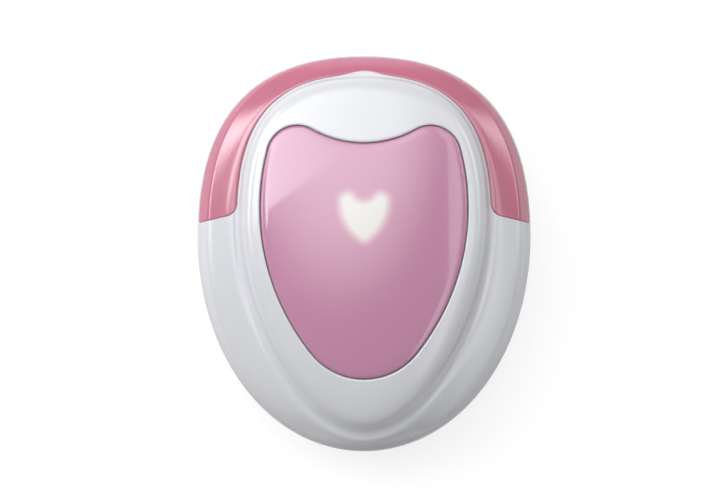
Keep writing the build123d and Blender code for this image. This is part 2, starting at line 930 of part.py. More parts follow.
shroud_top = crown_at(light_half_width, light_lobe_top, carrier_drop) - button_travel - shroud_gap
with BuildPart() as button_guide_frame:
    with BuildSketch(Plane.XY.offset(frame_height)):
        with Locations((0, (frame_top + frame_bottom) / 2)):
            RectangleRounded(2 * frame_half_width, frame_top - frame_bottom, frame_half_width / 2)
        with Locations(*switches_at):
            Circle(peg_radius + 2 * boss_clearance, mode=Mode.SUBTRACT)
    extrude(amount=frame_thickness)
    with BuildSketch(Plane.XY.offset(board_top)):
        with Locations(*button_posts_at):
            Circle(post_radius + post_clearance + sleeve_wall)
    extrude(amount=sleeve_top - board_top)
    add(prism(light.face(shroud_margin + shroud_wall), board_top, shroud_top))
    add(prism(light.face(shroud_margin), board_top, shroud_top), mode=Mode.SUBTRACT)
    with BuildSketch(Plane.XY.offset(board_top)):
        with Locations(*button_posts_at):
            Circle(post_radius + post_clearance)
    extrude(amount=sleeve_top - board_top, mode=Mode.SUBTRACT)
finish(button_guide_frame, "button_guide_frame")


# ---------------------------------------------------------------- circuit board and components

light_y = (light_lobe_top + light_tip) / 2

with BuildPart() as main_pcb:
    with BuildSketch(Plane.XY.offset(board_height)):
        add(rim.inset(board_inset).face())
        with Locations(*case_screws_at):
            Circle(case_boss_radius + boss_clearance, mode=Mode.SUBTRACT)
        with Locations(*board_posts_at):
            Circle(board_screw_shank_radius + case_hole_clearance, mode=Mode.SUBTRACT)
    extrude(amount=board_thickness)
finish(main_pcb, "main_pcb")

with BuildPart() as leds:
    with BuildSketch(Plane.XY.offset(board_top)):
        with Locations((-led_spread, light_y), (led_spread, light_y)):
            Rectangle(led_length, led_width)
    extrude(amount=led_height / 2)
    with BuildSketch(Plane.XY.offset(board_top + led_height / 2)):
        with Locations((-led_spread, light_y), (led_spread, light_y)):
            RectangleRounded(led_length * 0.8, led_width * 0.8, led_width / 5)
    extrude(amount=led_height / 2)
finish(leds, "leds")

with BuildPart() as processor_chip:
    with BuildSketch(Plane.XY.offset(board_top)):
        with Locations((0, processor_y)):
            Rectangle(processor_size, processor_size)
    extrude(amount=processor_height)
    chamfer(processor_chip.faces().sort_by(Axis.Z)[-1].edges(), length=processor_height / 5)
    for turn in (0, 90, 180, 270):
        facing = (cos(radians(turn)), sin(radians(turn)), 0)
        leg_plane = Plane(origin=(0, processor_y, board_top), x_dir=facing)
        with BuildSketch(leg_plane):
            with Locations((0, processor_size / 2 + chip_leg_length / 2)):
                with GridLocations(chip_leg_pitch, 1, processor_legs, 1):
                    Rectangle(chip_leg_width, chip_leg_length)
        extrude(amount=chip_leg_thickness)
finish(processor_chip, "processor_chip")

with BuildPart() as amplifier_chips:
    with BuildSketch(Plane.XY.offset(board_top)):
        with Locations(*amplifiers_at):
            Rectangle(amplifier_width, amplifier_length)
    extrude(amount=amplifier_height)
    with BuildSketch(Plane.XY.offset(board_top)):
        for x, y in amplifiers_at:
            for side in (-1, 1):
                with Locations((x + side * (amplifier_width + chip_leg_length) / 2, y)):
                    with GridLocations(1, chip_leg_pitch, 1, amplifier_legs):
                        Rectangle(chip_leg_length, chip_leg_width)
    extrude(amount=chip_leg_thickness)
finish(amplifier_chips, "amplifier_chips")

with BuildPart() as oscillator_can:
    with BuildSketch(Plane.XY.offset(board_top)):
        with Locations(oscillator_at):
            SlotOverall(oscillator_length, oscillator_width, rotation=90)
    extrude(amount=oscillator_height)
    fillet(oscillator_can.faces().sort_by(Axis.Z)[-1].edges(), radius=oscillator_width / 8)
finish(oscillator_can, "oscillator_can")

with BuildPart() as electrolytic_capacitors:
    with BuildSketch(Plane.XY.offset(board_top)):
        with Locations(*capacitors_at):
            Rectangle(2.1 * capacitor_radius, 2.1 * capacitor_radius)
    extrude(amount=capacitor_height / 8)
    with BuildSketch(Plane.XY.offset(board_top)):
        with Locations(*capacitors_at):
            Circle(capacitor_radius)
    extrude(amount=capacitor_height)
finish(electrolytic_capacitors, "electrolytic_capacitors")

with BuildPart() as chip_components:
    with BuildSketch(Plane.XY.offset(board_top)):
        for x, y in passives_at:
            with Locations((x, y)):
                with GridLocations(2 * passive_width, 1.5 * passive_length, passive_columns, passive_rows):
                    Rectangle(passive_width, passive_length)
    extrude(amount=passive_height)
finish(chip_components, "chip_components")


# ---------------------------------------------------------------- volume control

with BuildPart() as volume_potentiometer:
    with Locations((wheel_x, wheel_y, pot_bottom)):
        Cylinder(pot_radius, board_height - pot_bottom, align=on_base)
        Cylinder(
            shaft_radius + shaft_clearance,
            shaft_depth,
            align=on_base,
            mode=Mode.SUBTRACT,
        )
finish(volume_potentiometer, "volume_potentiometer")

with BuildPart() as volume_shaft:
    with Locations((wheel_x, wheel_y, wheel_bottom)):
        Cylinder(
            shaft_radius,
            pot_bottom + shaft_depth - shaft_clearance - wheel_bottom,
            align=on_base,
        )
        Cylinder(
            cover_screw_shank_radius + thread_clearance,
            wheel_screw_depth + thread_clearance,
            align=on_base,
            mode=Mode.SUBTRACT,
        )
finish(volume_shaft, "volume_shaft")

with BuildPart() as volume_wheel:
    with BuildSketch(Plane.XY.offset(wheel_bottom)):
        with Locations((wheel_x, wheel_y)):
            Circle(wheel_radius)
            with PolarLocations(wheel_radius, wheel_ribs):
                Circle(wheel_radius / wheel_ribs, mode=Mode.SUBTRACT)
            Circle(shaft_radius + thread_clearance, mode=Mode.SUBTRACT)
    extrude(amount=wheel_thickness)
finish(volume_wheel, "volume_wheel")

with BuildPart() as volume_wheel_screw:
    with Locations(Location((wheel_x, wheel_y, wheel_bottom), (180, 0, 0))):
        add(
            screw(
                shaft_radius + cover_screw_shank_radius,
                cover_screw_head_height,
                cover_screw_shank_radius,
                wheel_screw_depth,
            )
        )
finish(volume_wheel_screw, "volume_wheel_screw")


# ---------------------------------------------------------------- headphone jacks

for side, jack_x in jacks_at.items():
    with BuildPart() as headphone_jack:
        with Locations((jack_x, (jack_body_front + jack_body_back) / 2, jack_height)):
            Box(jack_body_width, jack_body_back - jack_body_front, jack_body_height)
        with BuildSketch(Plane(origin=(jack_x, jack_mouth_y, jack_height), x_dir=(1, 0, 0), z_dir=(0, 1, 0))):
            Circle(jack_nose_radius)
        extrude(amount=jack_body_back - jack_mouth_y - jack_body_height / 2)
        with BuildSketch(Plane(origin=(jack_x, jack_mouth_y, jack_height), x_dir=(1, 0, 0), z_dir=(0, 1, 0))):
            Circle(jack_bore_radius)
        extrude(amount=jack_bore_length, mode=Mode.SUBTRACT)
        with BuildSketch(Plane.XY.offset(jack_height + jack_body_height / 2)):
            with Locations((jack_x, (jack_body_front + jack_body_back) / 2)):
                with GridLocations(jack_body_width * 0.7, (jack_body_back - jack_body_front) * 0.7, 2, 2):
                    Rectangle(chip_leg_length, chip_leg_width)
        extrude(amount=board_height - jack_height - jack_body_height / 2)
    finish(headphone_jack, f"headphone_jack_{side}")


# ---------------------------------------------------------------- transducer

with BuildPart() as transducer_face:
    with BuildSketch(Plane(origin=(0, transducer_y, 0), x_dir=(1, 0, 0), z_dir=(0, -1, 0))):
        with BuildLine():
            Polyline((0, face_floor), (0, 0), (face_radius, 0), (face_radius, face_flange_seat))
            Polyline(
                (face_radius, face_flange_seat),
                (face_radius + face_flange_width, face_flange_seat),
                (face_radius + face_flange_width, face_flange_seat + face_flange_thickness),
                (face_radius, face_flange_seat + face_flange_thickness),
                (face_radius, face_top),
                (face_radius - face_wall, face_top),
                (face_radius - face_wall, face_floor),
                (0, face_floor),
            )
        make_face()
    revolve(axis=Axis((0, transducer_y, 0), (0, 0, 1)))
    fillet(transducer_face.faces().sort_by(Axis.Z)[0].edges(), radius=face_edge_radius)
finish(transducer_face, "transducer_face")

for side, crystal in ((-1, "transmit_crystal"), (1, "receive_crystal")):
    with BuildPart() as half_disc:
        with BuildSketch(Plane.XY.offset(face_floor)):
            with Locations((0, transducer_y)):
                Circle(crystal_radius)
            with Locations((side * (crystal_split / 2 + cutter / 2), transducer_y)):
                Rectangle(cutter, cutter, mode=Mode.INTERSECT)
        extrude(amount=crystal_thickness)
    finish(half_disc, crystal)

with BuildPart() as acoustic_divider:
    with BuildSketch(Plane.XY.offset(face_floor)):
        with Locations((0, transducer_y)):
            Rectangle(divider_thickness, 2 * (face_radius - face_wall) - 2 * boss_clearance)
    extrude(amount=face_top - face_floor)
finish(acoustic_divider, "acoustic_divider")

with BuildPart() as acoustic_backing:
    with BuildSketch(Plane.XY.offset(face_floor + crystal_thickness)):
        with Locations((0, transducer_y)):
            Circle(face_radius - face_wall - face_clearance)
            Rectangle(crystal_split, cutter, mode=Mode.SUBTRACT)
    extrude(amount=face_top - face_floor - crystal_thickness)
finish(acoustic_backing, "acoustic_backing")

with BuildPart() as transducer_cover:
    with BuildSketch(Plane.XY.offset(face_top)):
        with Locations((0, transducer_y)):
            Circle(face_radius - face_clearance)
            with PolarLocations(ear_reach / 2, len(ears_at), start_angle=90):
                Rectangle(ear_reach, 2 * ear_radius)
        with Locations(*ears_at):
            Circle(ear_radius)
            Circle(cover_screw_shank_radius + case_hole_clearance, mode=Mode.SUBTRACT)
        with Locations(*[(x, transducer_y) for x in cover_leads_x]):
            Circle(lead_hole_radius, mode=Mode.SUBTRACT)
    extrude(amount=cover_thickness)
finish(transducer_cover, "transducer_cover")


# ---------------------------------------------------------------- cells and contacts

for name, y, side in (("battery_cell_upper", cell_upper_y, 1), ("battery_cell_lower", cell_lower_y, -1)):
    nub_tip = bay_half_length - contact_thickness - contact_dimple
    with BuildPart() as cell:
        tip = (side * nub_tip, y, cell_height)
        with BuildSketch(Plane(origin=tip, x_dir=(-side, 0, 0), z_dir=(0, -1, 0))):
            with BuildLine():
                Polyline(
                    (0, 0),
                    (0, cell_nub_radius),
                    (cell_nub_length, cell_nub_radius),
                    (cell_nub_length, cell_radius),
                    (cell_length, cell_radius),
                    (cell_length, 0),
                    (0, 0),
                )
            make_face()
        revolve(axis=Axis((0, y, cell_height), (1, 0, 0)))
        fillet(cell.edges().filter_by(lambda e: e.length > 6 * cell_radius), radius=cell_nub_length / 2)
    finish(cell, name)


def contact_plate(x_side, y):
    """A square contact plate against the end wall of the bay, facing its cell."""
    with BuildPart() as plate:
        with Locations((x_side * (bay_half_length - contact_thickness / 2), y, cell_height)):
            Box(contact_thickness, contact_size, contact_size)
    return plate.part


def contact_dome(x_side, y):
    """The round dimple that meets a cell's positive end."""
    with BuildPart() as dome:
        with Locations((x_side * (bay_half_length - contact_thickness), y, cell_height)):
            Cylinder(contact_dimple_radius, 2 * contact_dimple, rotation=(0, 90, 0))
        with Locations((x_side * (bay_half_length + cutter / 2), y, cell_height)):
            Box(cutter, cutter, cutter, mode=Mode.SUBTRACT)
    return dome.part


def contact_spring(x_side, y):
    """The tapered coil that presses on a cell's flat end, drawn along its own wire."""
    length = 2 * bay_half_length - 2 * contact_thickness - contact_dimple - cell_length
    height = length - spring_wire / 2
    taper = -degrees(atan2(spring_foot_radius - spring_tip_radius, height))
    foot = (x_side * (bay_half_length - contact_thickness), y, cell_height)
    with BuildPart() as spring:
        with BuildLine() as wire:
            Helix(height / spring_turns, height, spring_foot_radius, foot, (-x_side, 0, 0), taper)
        with BuildSketch(Plane(origin=wire.line @ 0, z_dir=wire.line % 0)):
            RegularPolygon(spring_wire / 2, 8)
        sweep(path=wire.line, is_frenet=True)
    return spring.part


with BuildPart() as battery_contact_positive:
    add(contact_plate(1, cell_upper_y))
    add(contact_dome(1, cell_upper_y))
finish(battery_contact_positive, "battery_contact_positive")

with BuildPart() as battery_contact_negative:
    add(contact_plate(1, cell_lower_y))
    add(contact_spring(1, cell_lower_y))
finish(battery_contact_negative, "battery_contact_negative")

with BuildPart() as battery_contact_link:
    add(contact_plate(-1, cell_upper_y))
    add(contact_plate(-1, cell_lower_y))
    cells_middle = (cell_upper_y + cell_lower_y) / 2
    with Locations((-bay_half_length + contact_thickness / 2, cells_middle, cell_height)):
        Box(contact_thickness, cell_pitch, contact_size / 2, align=under_top)
    add(contact_dome(-1, cell_lower_y))
    add(contact_spring(-1, cell_upper_y))
finish(battery_contact_link, "battery_contact_link")


# ---------------------------------------------------------------- leads


def lead(*points):
    """A round insulated lead along straight runs joined by arcs."""
    with BuildPart() as tube:
        with BuildLine() as route:
            FilletPolyline(*points, radius=lead_bend)
        with BuildSketch(Plane(origin=route.line @ 0, z_dir=route.line % 0)):
            Circle(lead_radius)
        sweep(path=route.line)
    return tube.part


with BuildPart() as battery_leads:
    for lead_y in (cell_upper_y + battery_lead_offset, cell_lower_y):
        add(
            lead(
                (bay_half_length, lead_y, battery_lead_height),
                (battery_lead_x, lead_y, battery_lead_height),
                (battery_lead_x, lead_y, board_height),
            )
        )
finish(battery_leads, "battery_leads")

with BuildPart() as transducer_leads:
    for x in cover_leads_x:
        add(
            lead(
                (x, transducer_y, face_top),
                (x, transducer_y, (face_top + board_height) / 2),
                (x, transducer_y + transducer_lead_shift, (face_top + board_height) / 2),
                (x, transducer_y + transducer_lead_shift, board_height),
            )
        )
finish(transducer_leads, "transducer_leads")


# ---------------------------------------------------------------- fasteners

with BuildPart() as case_screws:
    with Locations(*[Location((x, y, case_screw_seat), (180, 0, 0)) for x, y in case_screws_at]):
        add(screw(case_head_radius, case_head_height, case_shank_radius, case_screw_end - case_screw_seat))
finish(case_screws, "case_screws")

with BuildPart() as pcb_screws:
    with Locations(*[(x, y, board_top) for x, y in board_posts_at]):
        add(
            screw(
                board_screw_head_radius,
                board_screw_head_height,
                board_screw_shank_radius,
                board_screw_length,
            )
        )
finish(pcb_screws, "pcb_screws")

with BuildPart() as transducer_screws:
    with Locations(*[(x, y, face_top + cover_thickness) for x, y in ears_at]):
        add(
            screw(
                cover_screw_head_radius,
                cover_screw_head_height,
                cover_screw_shank_radius,
                cover_screw_length,
            )
        )
finish(transducer_screws, "transducer_screws")
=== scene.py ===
"""Looks of a pocket fetal doppler monitor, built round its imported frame.

The monitor lies on its round transducer face. +Z points out of the front, +Y to the wide end
and +X to the volume wheel. Sizes in the classes are in millimetres, meshes are in metres.
"""

import json
import logging
import math
from collections.abc import Callable
from dataclasses import dataclass, replace
from enum import Enum
from typing import ClassVar

import bmesh
import bpy
import numpy as np
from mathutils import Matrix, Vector


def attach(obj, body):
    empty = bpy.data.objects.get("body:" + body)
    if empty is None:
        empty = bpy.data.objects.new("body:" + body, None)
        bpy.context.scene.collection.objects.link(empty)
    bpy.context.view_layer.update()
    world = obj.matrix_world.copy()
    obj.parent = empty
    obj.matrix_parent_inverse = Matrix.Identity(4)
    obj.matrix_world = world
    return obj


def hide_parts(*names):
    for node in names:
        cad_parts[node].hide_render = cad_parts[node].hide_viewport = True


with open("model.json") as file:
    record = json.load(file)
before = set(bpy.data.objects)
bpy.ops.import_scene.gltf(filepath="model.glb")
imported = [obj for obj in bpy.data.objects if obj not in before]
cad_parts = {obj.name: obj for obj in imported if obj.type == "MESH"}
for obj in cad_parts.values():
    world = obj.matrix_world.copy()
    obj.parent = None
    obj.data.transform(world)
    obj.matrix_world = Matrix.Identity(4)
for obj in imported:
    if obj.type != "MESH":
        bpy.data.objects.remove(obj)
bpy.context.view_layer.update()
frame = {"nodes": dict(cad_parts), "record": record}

LOG = logging.getLogger("doppler")
MM = 0.001
TURN = 2.0 * math.pi
SAME_POINT = 1e-7  # metres

Array = np.ndarray
Thing = bpy.types.Object
Tree = bpy.types.NodeTree
Node = bpy.types.Node
Outputs = bpy.types.NodeOutputs
Face = tuple[int, ...]
Size = float | tuple[float, float, float]


class Body(Enum):
    """The CAD bodies that pieces ride on."""

    CASE = "case"
    BUTTON = "heart_button"
    WHEEL = "volume_wheel"
    DOOR = "battery_door"


class Slot(Enum):
    """The record's material slots that new pieces take their finish from."""

    SHELL = "shell_white"
    REAR = "shell_rear"
    BAND = "band_pink"
    LENS = "lens_pink"
    TRANSDUCER = "transducer_ivory"
    WHEEL = "wheel_grey"
    SCREW = "screw_steel"


# ------------------------------------------------------------------ small tools


def linear(colour: str) -> tuple[float, float, float, float]:
    """Turn an sRGB hex colour into linear light.

    Args:
        colour: six hex digits.

    Returns:
        Red, green, blue and an alpha of one.
    """
    parts = [int(colour[i : i + 2], 16) / 255 for i in (0, 2, 4)]
    return (*(p / 12.92 if p <= 0.04045 else ((p + 0.055) / 1.055) ** 2.4 for p in parts), 1.0)


def feed(tree: Tree, node: Node, inputs: dict[str | int, object]) -> None:
    """Set or link the inputs of a node.

    Args:
        tree: the tree that holds the node.
        node: the node.
        inputs: for a socket's name or number, its value, or the output or the node that feeds
            it. A node feeds it from its first output.
    """
    for key, value in inputs.items():
        source = value.outputs[0] if isinstance(value, Node) else value
        if isinstance(source, bpy.types.NodeSocket):
            tree.links.new(source, node.inputs[key])
        else:
            node.inputs[key].default_value = source


def add_node(
    tree: Tree, kind: str, inputs: dict[str | int, object] | None = None, **settings: object
) -> Node:
    """Add one node to a tree, set it and link it.

    Args:
        tree: the tree that gets the node.
        kind: the node's type name.
        inputs: what its sockets get, as feed takes it.
        settings: the node's own properties.

    Returns:
        The new node.
    """
    node = tree.nodes.new(kind)
    for name, value in settings.items():
        setattr(node, name, value)
    feed(tree, node, inputs or {})
    return node


def new_piece(name: str, vertices: Array, faces: list[Face], body: Body) -> Thing:
    """Make a mesh object that rides on a body.

    Args:
        name: the piece's name.
        vertices: points in millimetres, one row each.
        faces: tuples of point numbers.
        body: what the piece moves with.

    Returns:
        The object.
    """
    mesh = bpy.data.meshes.new(name)
    mesh.from_pydata((np.asarray(vertices) * MM).tolist(), [], faces)
    mesh.validate()
    mesh.update()
    piece = bpy.data.objects.new(name, mesh)
    bpy.context.scene.collection.objects.link(piece)
    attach(piece, body.value)
    return piece


def complete(piece: Thing, slot: Slot, node: str, crease: float) -> Thing:
    """Shade a piece smooth, give it its finish and hide the CAD node that it stands in for.

    Args:
        piece: the piece.
        slot: the record's slot that it takes its finish from.
        node: the CAD node that it replaces.
        crease: the angle in degrees past which an edge stays sharp.

    Returns:
        The piece.
    """
    piece.data.shade_smooth()
    piece.data.set_sharp_from_angle(angle=math.radians(crease))
    dress(piece, slot.value)
    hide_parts(node)
    return piece


def turn_outwards(piece: Thing, merge: bool = True) -> None:
    """Turn a closed piece's faces outwards.

    Args:
        piece: the piece.
        merge: whether its doubled points are merged first.
    """
    mesh = bmesh.new()
    mesh.from_mesh(piece.data)
    if merge:
        bmesh.ops.remove_doubles(mesh, verts=mesh.verts, dist=SAME_POINT)
    bmesh.ops.recalc_face_normals(mesh, faces=mesh.faces)
    mesh.to_mesh(piece.data)
    mesh.free()


def settle(piece: Thing) -> None:
    """Turn a piece with its modifiers into a plain mesh.

    Args:
        piece: the piece, which keeps its name and loses its modifiers.
    """
    depsgraph = bpy.context.evaluated_depsgraph_get()
    depsgraph.update()
    mesh = bpy.data.meshes.new_from_object(piece.evaluated_get(depsgraph))
    old = piece.data
    piece.modifiers.clear()
    piece.data = mesh
    mesh.name = piece.name
    bpy.data.meshes.remove(old)


def cut(piece: Thing, tool: Thing) -> None:
    """Cut a tool's volume out of a piece.

    Args:
        piece: the piece.
        tool: the solid to take away, which is removed afterwards.
    """
    modifier = piece.modifiers.new("cut", "BOOLEAN")
    modifier.operation = "DIFFERENCE"
    modifier.solver = "EXACT"
    modifier.object = tool
    settle(piece)
    bpy.data.objects.remove(tool)


def grid_faces(
    rows: int, columns: int, wrap_rows: bool, wrap_columns: bool, start: int = 0
) -> list[Face]:
    """The faces of a grid of points.

    Args:
        rows: how many rows of points.
        columns: how many points a row has.
        wrap_rows: whether the last row joins the first.
        wrap_columns: whether a row's last point joins its first.
        start: the number of the first point.

    Returns:
        Four-sided faces.
    """
    faces = []
    for row in range(rows if wrap_rows else rows - 1):
        here, there = start + row * columns, start + (row + 1) % rows * columns
        for column in range(columns if wrap_columns else columns - 1):
            after = (column + 1) % columns
            faces.append((here + column, here + after, there + after, there + column))
    return faces


# ------------------------------------------------------------------ outlines and sections

CENTRE = np.array([0.0, 6.0])  # the point in plan that every ring of the front runs round
AROUND = 480  # points in such a ring
CURVE_POINTS = 800
ARC_POINTS = 300

FLANK_ROWS, TURN_ROWS, EDGE_ROWS, CROWN_ROWS = 17, 7, 15, 18
MOST_OF_RUN = 0.45  # the share of a straight run that one soft turn may take
HALF_OF_RUN = 0.5
CROWN_MARGIN = 0.3  # the least width of crown between its edge and the inner outline
HALVINGS = 40
HAIR = 1e-9  # what makes a level stretch fall
EDGE_LINES = np.array([0.0, 0.12, 0.4, 1.0])  # where lines stand on a rounded edge
LIP_TURNS = np.radians([22.5, 45.0, 67.5, 90.0])
ROUNDING_TURNS = np.radians([18, 36, 54, 72, 90])


def polar_reach(points: Array, angles: Array, centre: Array = CENTRE) -> Array:
    """How far a closed outline reaches from a point inside it.

    Args:
        points: the outline's points, one row each.
        angles: the directions to look in.
        centre: the point.

    Returns:
        One distance for each angle.
    """
    x, y = (points - centre).T
    return np.interp(angles, np.arctan2(y, x), np.hypot(x, y), period=TURN)


@dataclass(frozen=True)
class Oval:
    """A closed oval of four cubic curves, wide above its middle line and narrow below it."""

    half_width: float
    top: float
    bottom: float
    middle: float
    upper: float
    lower: float

    def inset(self, by: float) -> "Oval":
        """The same oval with its reach cut back on every side."""
        top, bottom = self.top - by, self.bottom + by
        return replace(self, half_width=self.half_width - by, top=top, bottom=bottom)

    def reach(self, angles: Array) -> Array:
        """How far the oval reaches from the form's centre.

        Args:
            angles: the directions to look in.

        Returns:
            One distance for each angle.
        """
        t = np.linspace(0.0, 1.0, CURVE_POINTS)[:, None]
        weights = np.hstack([(1 - t) ** 3, 3 * t * (1 - t) ** 2, 3 * t**2 * (1 - t), t**3])
        quarters = []
        for end, fullness in ((self.top, self.upper), (self.bottom, self.lower)):
            pull = self.middle + fullness * (end - self.middle)
            side = [(self.half_width, self.middle), (self.half_width, pull)]
            hull = [*side, (fullness * self.half_width, end), (0, end)]
            quarters.append(weights @ np.array(hull, float))
        half = np.vstack(quarters)
        return polar_reach(np.vstack([half, half * [-1.0, 1.0]]), angles)


@dataclass(frozen=True)
class Heart:
    """A broad heart of tangent arcs: notch, two lobes, two flanks and a round tip."""

    half_width: float
    lobe_top: float
    notch: float
    tip: float
    lobe_radius: float
    flank_radius: float
    widest: float

    def outline(self, grow: float = 0.0) -> Array:
        """The heart's outline, grown by a distance.

        Args:
            grow: how far the outline moves outwards.

        Returns:
            Points, one row each.
        """
        flank = np.array([self.half_width - self.flank_radius, self.widest])
        lobe_y = self.lobe_top - self.lobe_radius
        reach = (self.flank_radius - self.lobe_radius) ** 2 - (lobe_y - self.widest) ** 2
        lobe_x = flank[0] + math.sqrt(reach)
        fall = self.widest - self.tip
        over = self.flank_radius**2 - flank[0] ** 2 - fall**2
        tip_radius = over / (2 * (self.flank_radius - fall))
        sag = self.notch - lobe_y
        notch_radius = (lobe_x**2 + sag**2 - self.lobe_radius**2) / (2 * (self.lobe_radius - sag))
        lobe = np.array([lobe_x, lobe_y])
        tip = np.array([0.0, self.tip + tip_radius])
        notch = np.array([0.0, self.notch + notch_radius])
        to_lobe = math.atan2(*(lobe - notch)[::-1])
        to_flank = math.atan2(*(lobe - flank)[::-1])
        to_tip = math.atan2(*(tip - flank)[::-1])
        arcs = [
            (notch, notch_radius - grow, -math.pi / 2, to_lobe),
            (lobe, self.lobe_radius + grow, to_lobe + math.pi, to_flank),
            (flank, self.flank_radius + grow, to_flank, to_tip),
            (tip, tip_radius + grow, to_tip, -math.pi / 2),
        ]
        half = []
        for centre, radius, start, end in arcs:
            turns = np.linspace(start, end, ARC_POINTS)
            half.append(centre + radius * np.column_stack([np.cos(turns), np.sin(turns)]))
        right = np.vstack(half)
        return np.vstack([right, right[::-1] * [-1.0, 1.0]])

    def reach(self, angles: Array, grow: float = 0.0) -> Array:
        """How far the heart, grown by a distance, reaches from the form's centre at each angle."""
        return polar_reach(self.outline(grow), angles)


@dataclass(frozen=True)
class Blends:
    """How far the soft turns of the front's section spread: ridge, hollow and the crown's edge."""

    ridge: float = 2.4
    valley: float = 1.1
    valley_bottom: float = 4.0
    edge_wall: float = 2.2
    edge_side: float = 2.8
    edge_top: float = 4.2
    edge_bottom: float = 8.0


@dataclass(frozen=True)
class FrontForm:
    """The front's outer form: a rounded flank, a wall and a doubly curved crown."""

    # Each oval's half width, top, bottom and middle, then how full it is above and below.
    rim: Oval = Oval(44.0, 52.25, -52.25, 4.6, 0.669, 0.562)
    crest: Oval = Oval(35.4, 48.05, -50.6, 8.0, 0.690, 0.500)
    foot: Oval = Oval(33.2, 46.8, -46.8, 9.0, 0.700, 0.481)
    head: Oval = Oval(30.4, 45.0, -38.5, 9.0, 0.700, 0.481)
    parting: float = 19.5
    flank_rise: float = 8.0
    foot_drop: float = 0.5
    bottom_rise: float = 1.2
    head_rise: float = 10.0
    wall_share: float = 0.5
    crown_height: float = 36.5
    crown_across: float = 119.413
    crown_along: float = 241.280
    crown_middle: float = 2.0

    def crown(self, x: Array | float, y: Array | float, drop: float = 0.0) -> Array | float:
        """The crown's height over points of the plan.

        Args:
            x: how far they stand from the middle line.
            y: how far they stand along it.
            drop: how far the crown is lowered.

        Returns:
            One height for each point.
        """
        across = self.crown_along - (self.crown_across - np.sqrt(self.crown_across**2 - x**2))
        lift = np.sqrt(across**2 - (y - self.crown_middle) ** 2)
        return self.crown_height - drop - self.crown_along + lift

    def crown_ring(self, reach: Array, angles: Array, drop: float = 0.0) -> Array:
        """The crown's height along a ring about the form's centre, lowered by a distance."""
        return self.crown(reach * np.cos(angles), CENTRE[1] + reach * np.sin(angles), drop)

    def section(
        self, angles: Array, depth: float, drop: float, blends: Blends, inner: Array
    ) -> Array:
        """The rings of the form from the parting line in to an inner outline.

        Args:
            angles: the directions of the ring's points.
            depth: how far the flank and the wall stand inside the outer form.
            drop: how far the crown stands under the outer form's.
            blends: how softly the section turns.
            inner: the reach of the outline on the crown that the rings end on.

        Returns:
            An array of rings, each a row of (reach, height) pairs.
        """
        rim, crest = (oval.inset(depth).reach(angles) for oval in (self.rim, self.crest))
        inset = depth * self.wall_share
        foot, head = (oval.inset(inset).reach(angles) for oval in (self.foot, self.head))
        rise = self.flank_rise - depth
        facing_down = np.clip(-np.sin(angles), 0.0, 1.0)
        facing_up = np.clip(np.sin(angles), 0.0, 1.0)
        foot_rise = facing_down**3 * (self.bottom_rise + self.foot_drop) - self.foot_drop
        low = self.parting + self.flank_rise + foot_rise - depth
        high = low + self.head_rise

        def flank(turn: Array) -> Array:
            """The rounded flank after a turn from the rim."""
            height = self.parting + rise * np.sin(turn)
            return np.stack([rim - (rim - crest) * (1 - np.cos(turn)), height])

        def wall(share: Array) -> Array:
            """The wall at a share of its way from foot to head."""
            return np.stack([foot + (head - foot) * share, low + (high - low) * share])

        def over_crown(share: Array) -> Array:
            """How far the wall stands over the crown at a share of its way."""
            reach, height = wall(share)
            return height - self.crown_ring(reach, angles, drop)

        edge = root(over_crown, np.full_like(angles, -0.5), np.ones_like(angles))
        wall_length = np.hypot(foot - head, high - low)
        ridge_point = np.stack([crest, np.full_like(crest, self.parting + rise)])
        foot_point = np.stack([foot, low])
        across = foot_point - ridge_point
        shelf = np.hypot(*across)
        before = np.arccos(1 - np.minimum(blends.ridge / (rim - crest), HALF_OF_RUN))
        after = np.minimum(blends.ridge, MOST_OF_RUN * shelf) / shelf
        hollow = blends.valley + (blends.valley_bottom - blends.valley) * facing_down**2
        valley = np.minimum(hollow, MOST_OF_RUN * shelf) / shelf
        down = np.minimum(hollow, MOST_OF_RUN * edge * wall_length) / wall_length
        up = np.minimum(blends.edge_wall, HALF_OF_RUN * edge * wall_length) / wall_length
        spread = blends.edge_side + (blends.edge_bottom - blends.edge_side) * facing_down**2
        spread += (blends.edge_top - blends.edge_side) * facing_up**2

        corner = wall(edge)
        onto = np.maximum(corner[0] - spread, inner + CROWN_MARGIN)
        crown_end = np.stack([onto, self.crown_ring(onto, angles, drop)])
        lean, shelf_run = math.pi / 2 - before, 1 - valley - after
        rings = [flank(lean * share) for share in np.linspace(0.0, 1.0, FLANK_ROWS)]
        rings += bend(rings[-1], ridge_point, ridge_point + across * after, TURN_ROWS)
        rings += [ridge_point + across * (after + shelf_run * share) for share in (0.5, 1.0)]
        rings += bend(rings[-1], foot_point, wall(down), TURN_ROWS)
        rings += [wall(down + (edge - up - down) * share) for share in (0.5, 1.0)]
        rings += bend(wall(edge - up), corner, crown_end, EDGE_ROWS)
        for share in np.linspace(0.0, 1.0, CROWN_ROWS)[1:]:
            reach = onto + (inner - onto) * share
            rings.append(np.stack([reach, self.crown_ring(reach, angles, drop)]))
        return np.array(rings)


def root(rising: Callable[[Array], Array], low: Array, high: Array) -> Array:
    """Where a rising function of an array crosses zero, found by halving.

    Args:
        rising: the function.
        low: values below the crossings.
        high: values above them.

    Returns:
        The crossings.
    """
    for _ in range(HALVINGS):
        middle = (low + high) / 2
        above = rising(middle) > 0
        high = np.where(above, middle, high)
        low = np.where(above, low, middle)
    return (low + high) / 2


def bend(start: Array, corner: Array, end: Array, count: int) -> list[Array]:
    """The points of a soft turn round a corner.

    Args:
        start: where the turn leaves.
        corner: the point that pulls it.
        end: where the turn arrives.
        count: how many points it has, with its start.

    Returns:
        The points, without the start.
    """
    shares = np.linspace(0.0, 1.0, count)[1:]
    return [(1 - s) ** 2 * start + 2 * s * (1 - s) * corner + s**2 * end for s in shares]


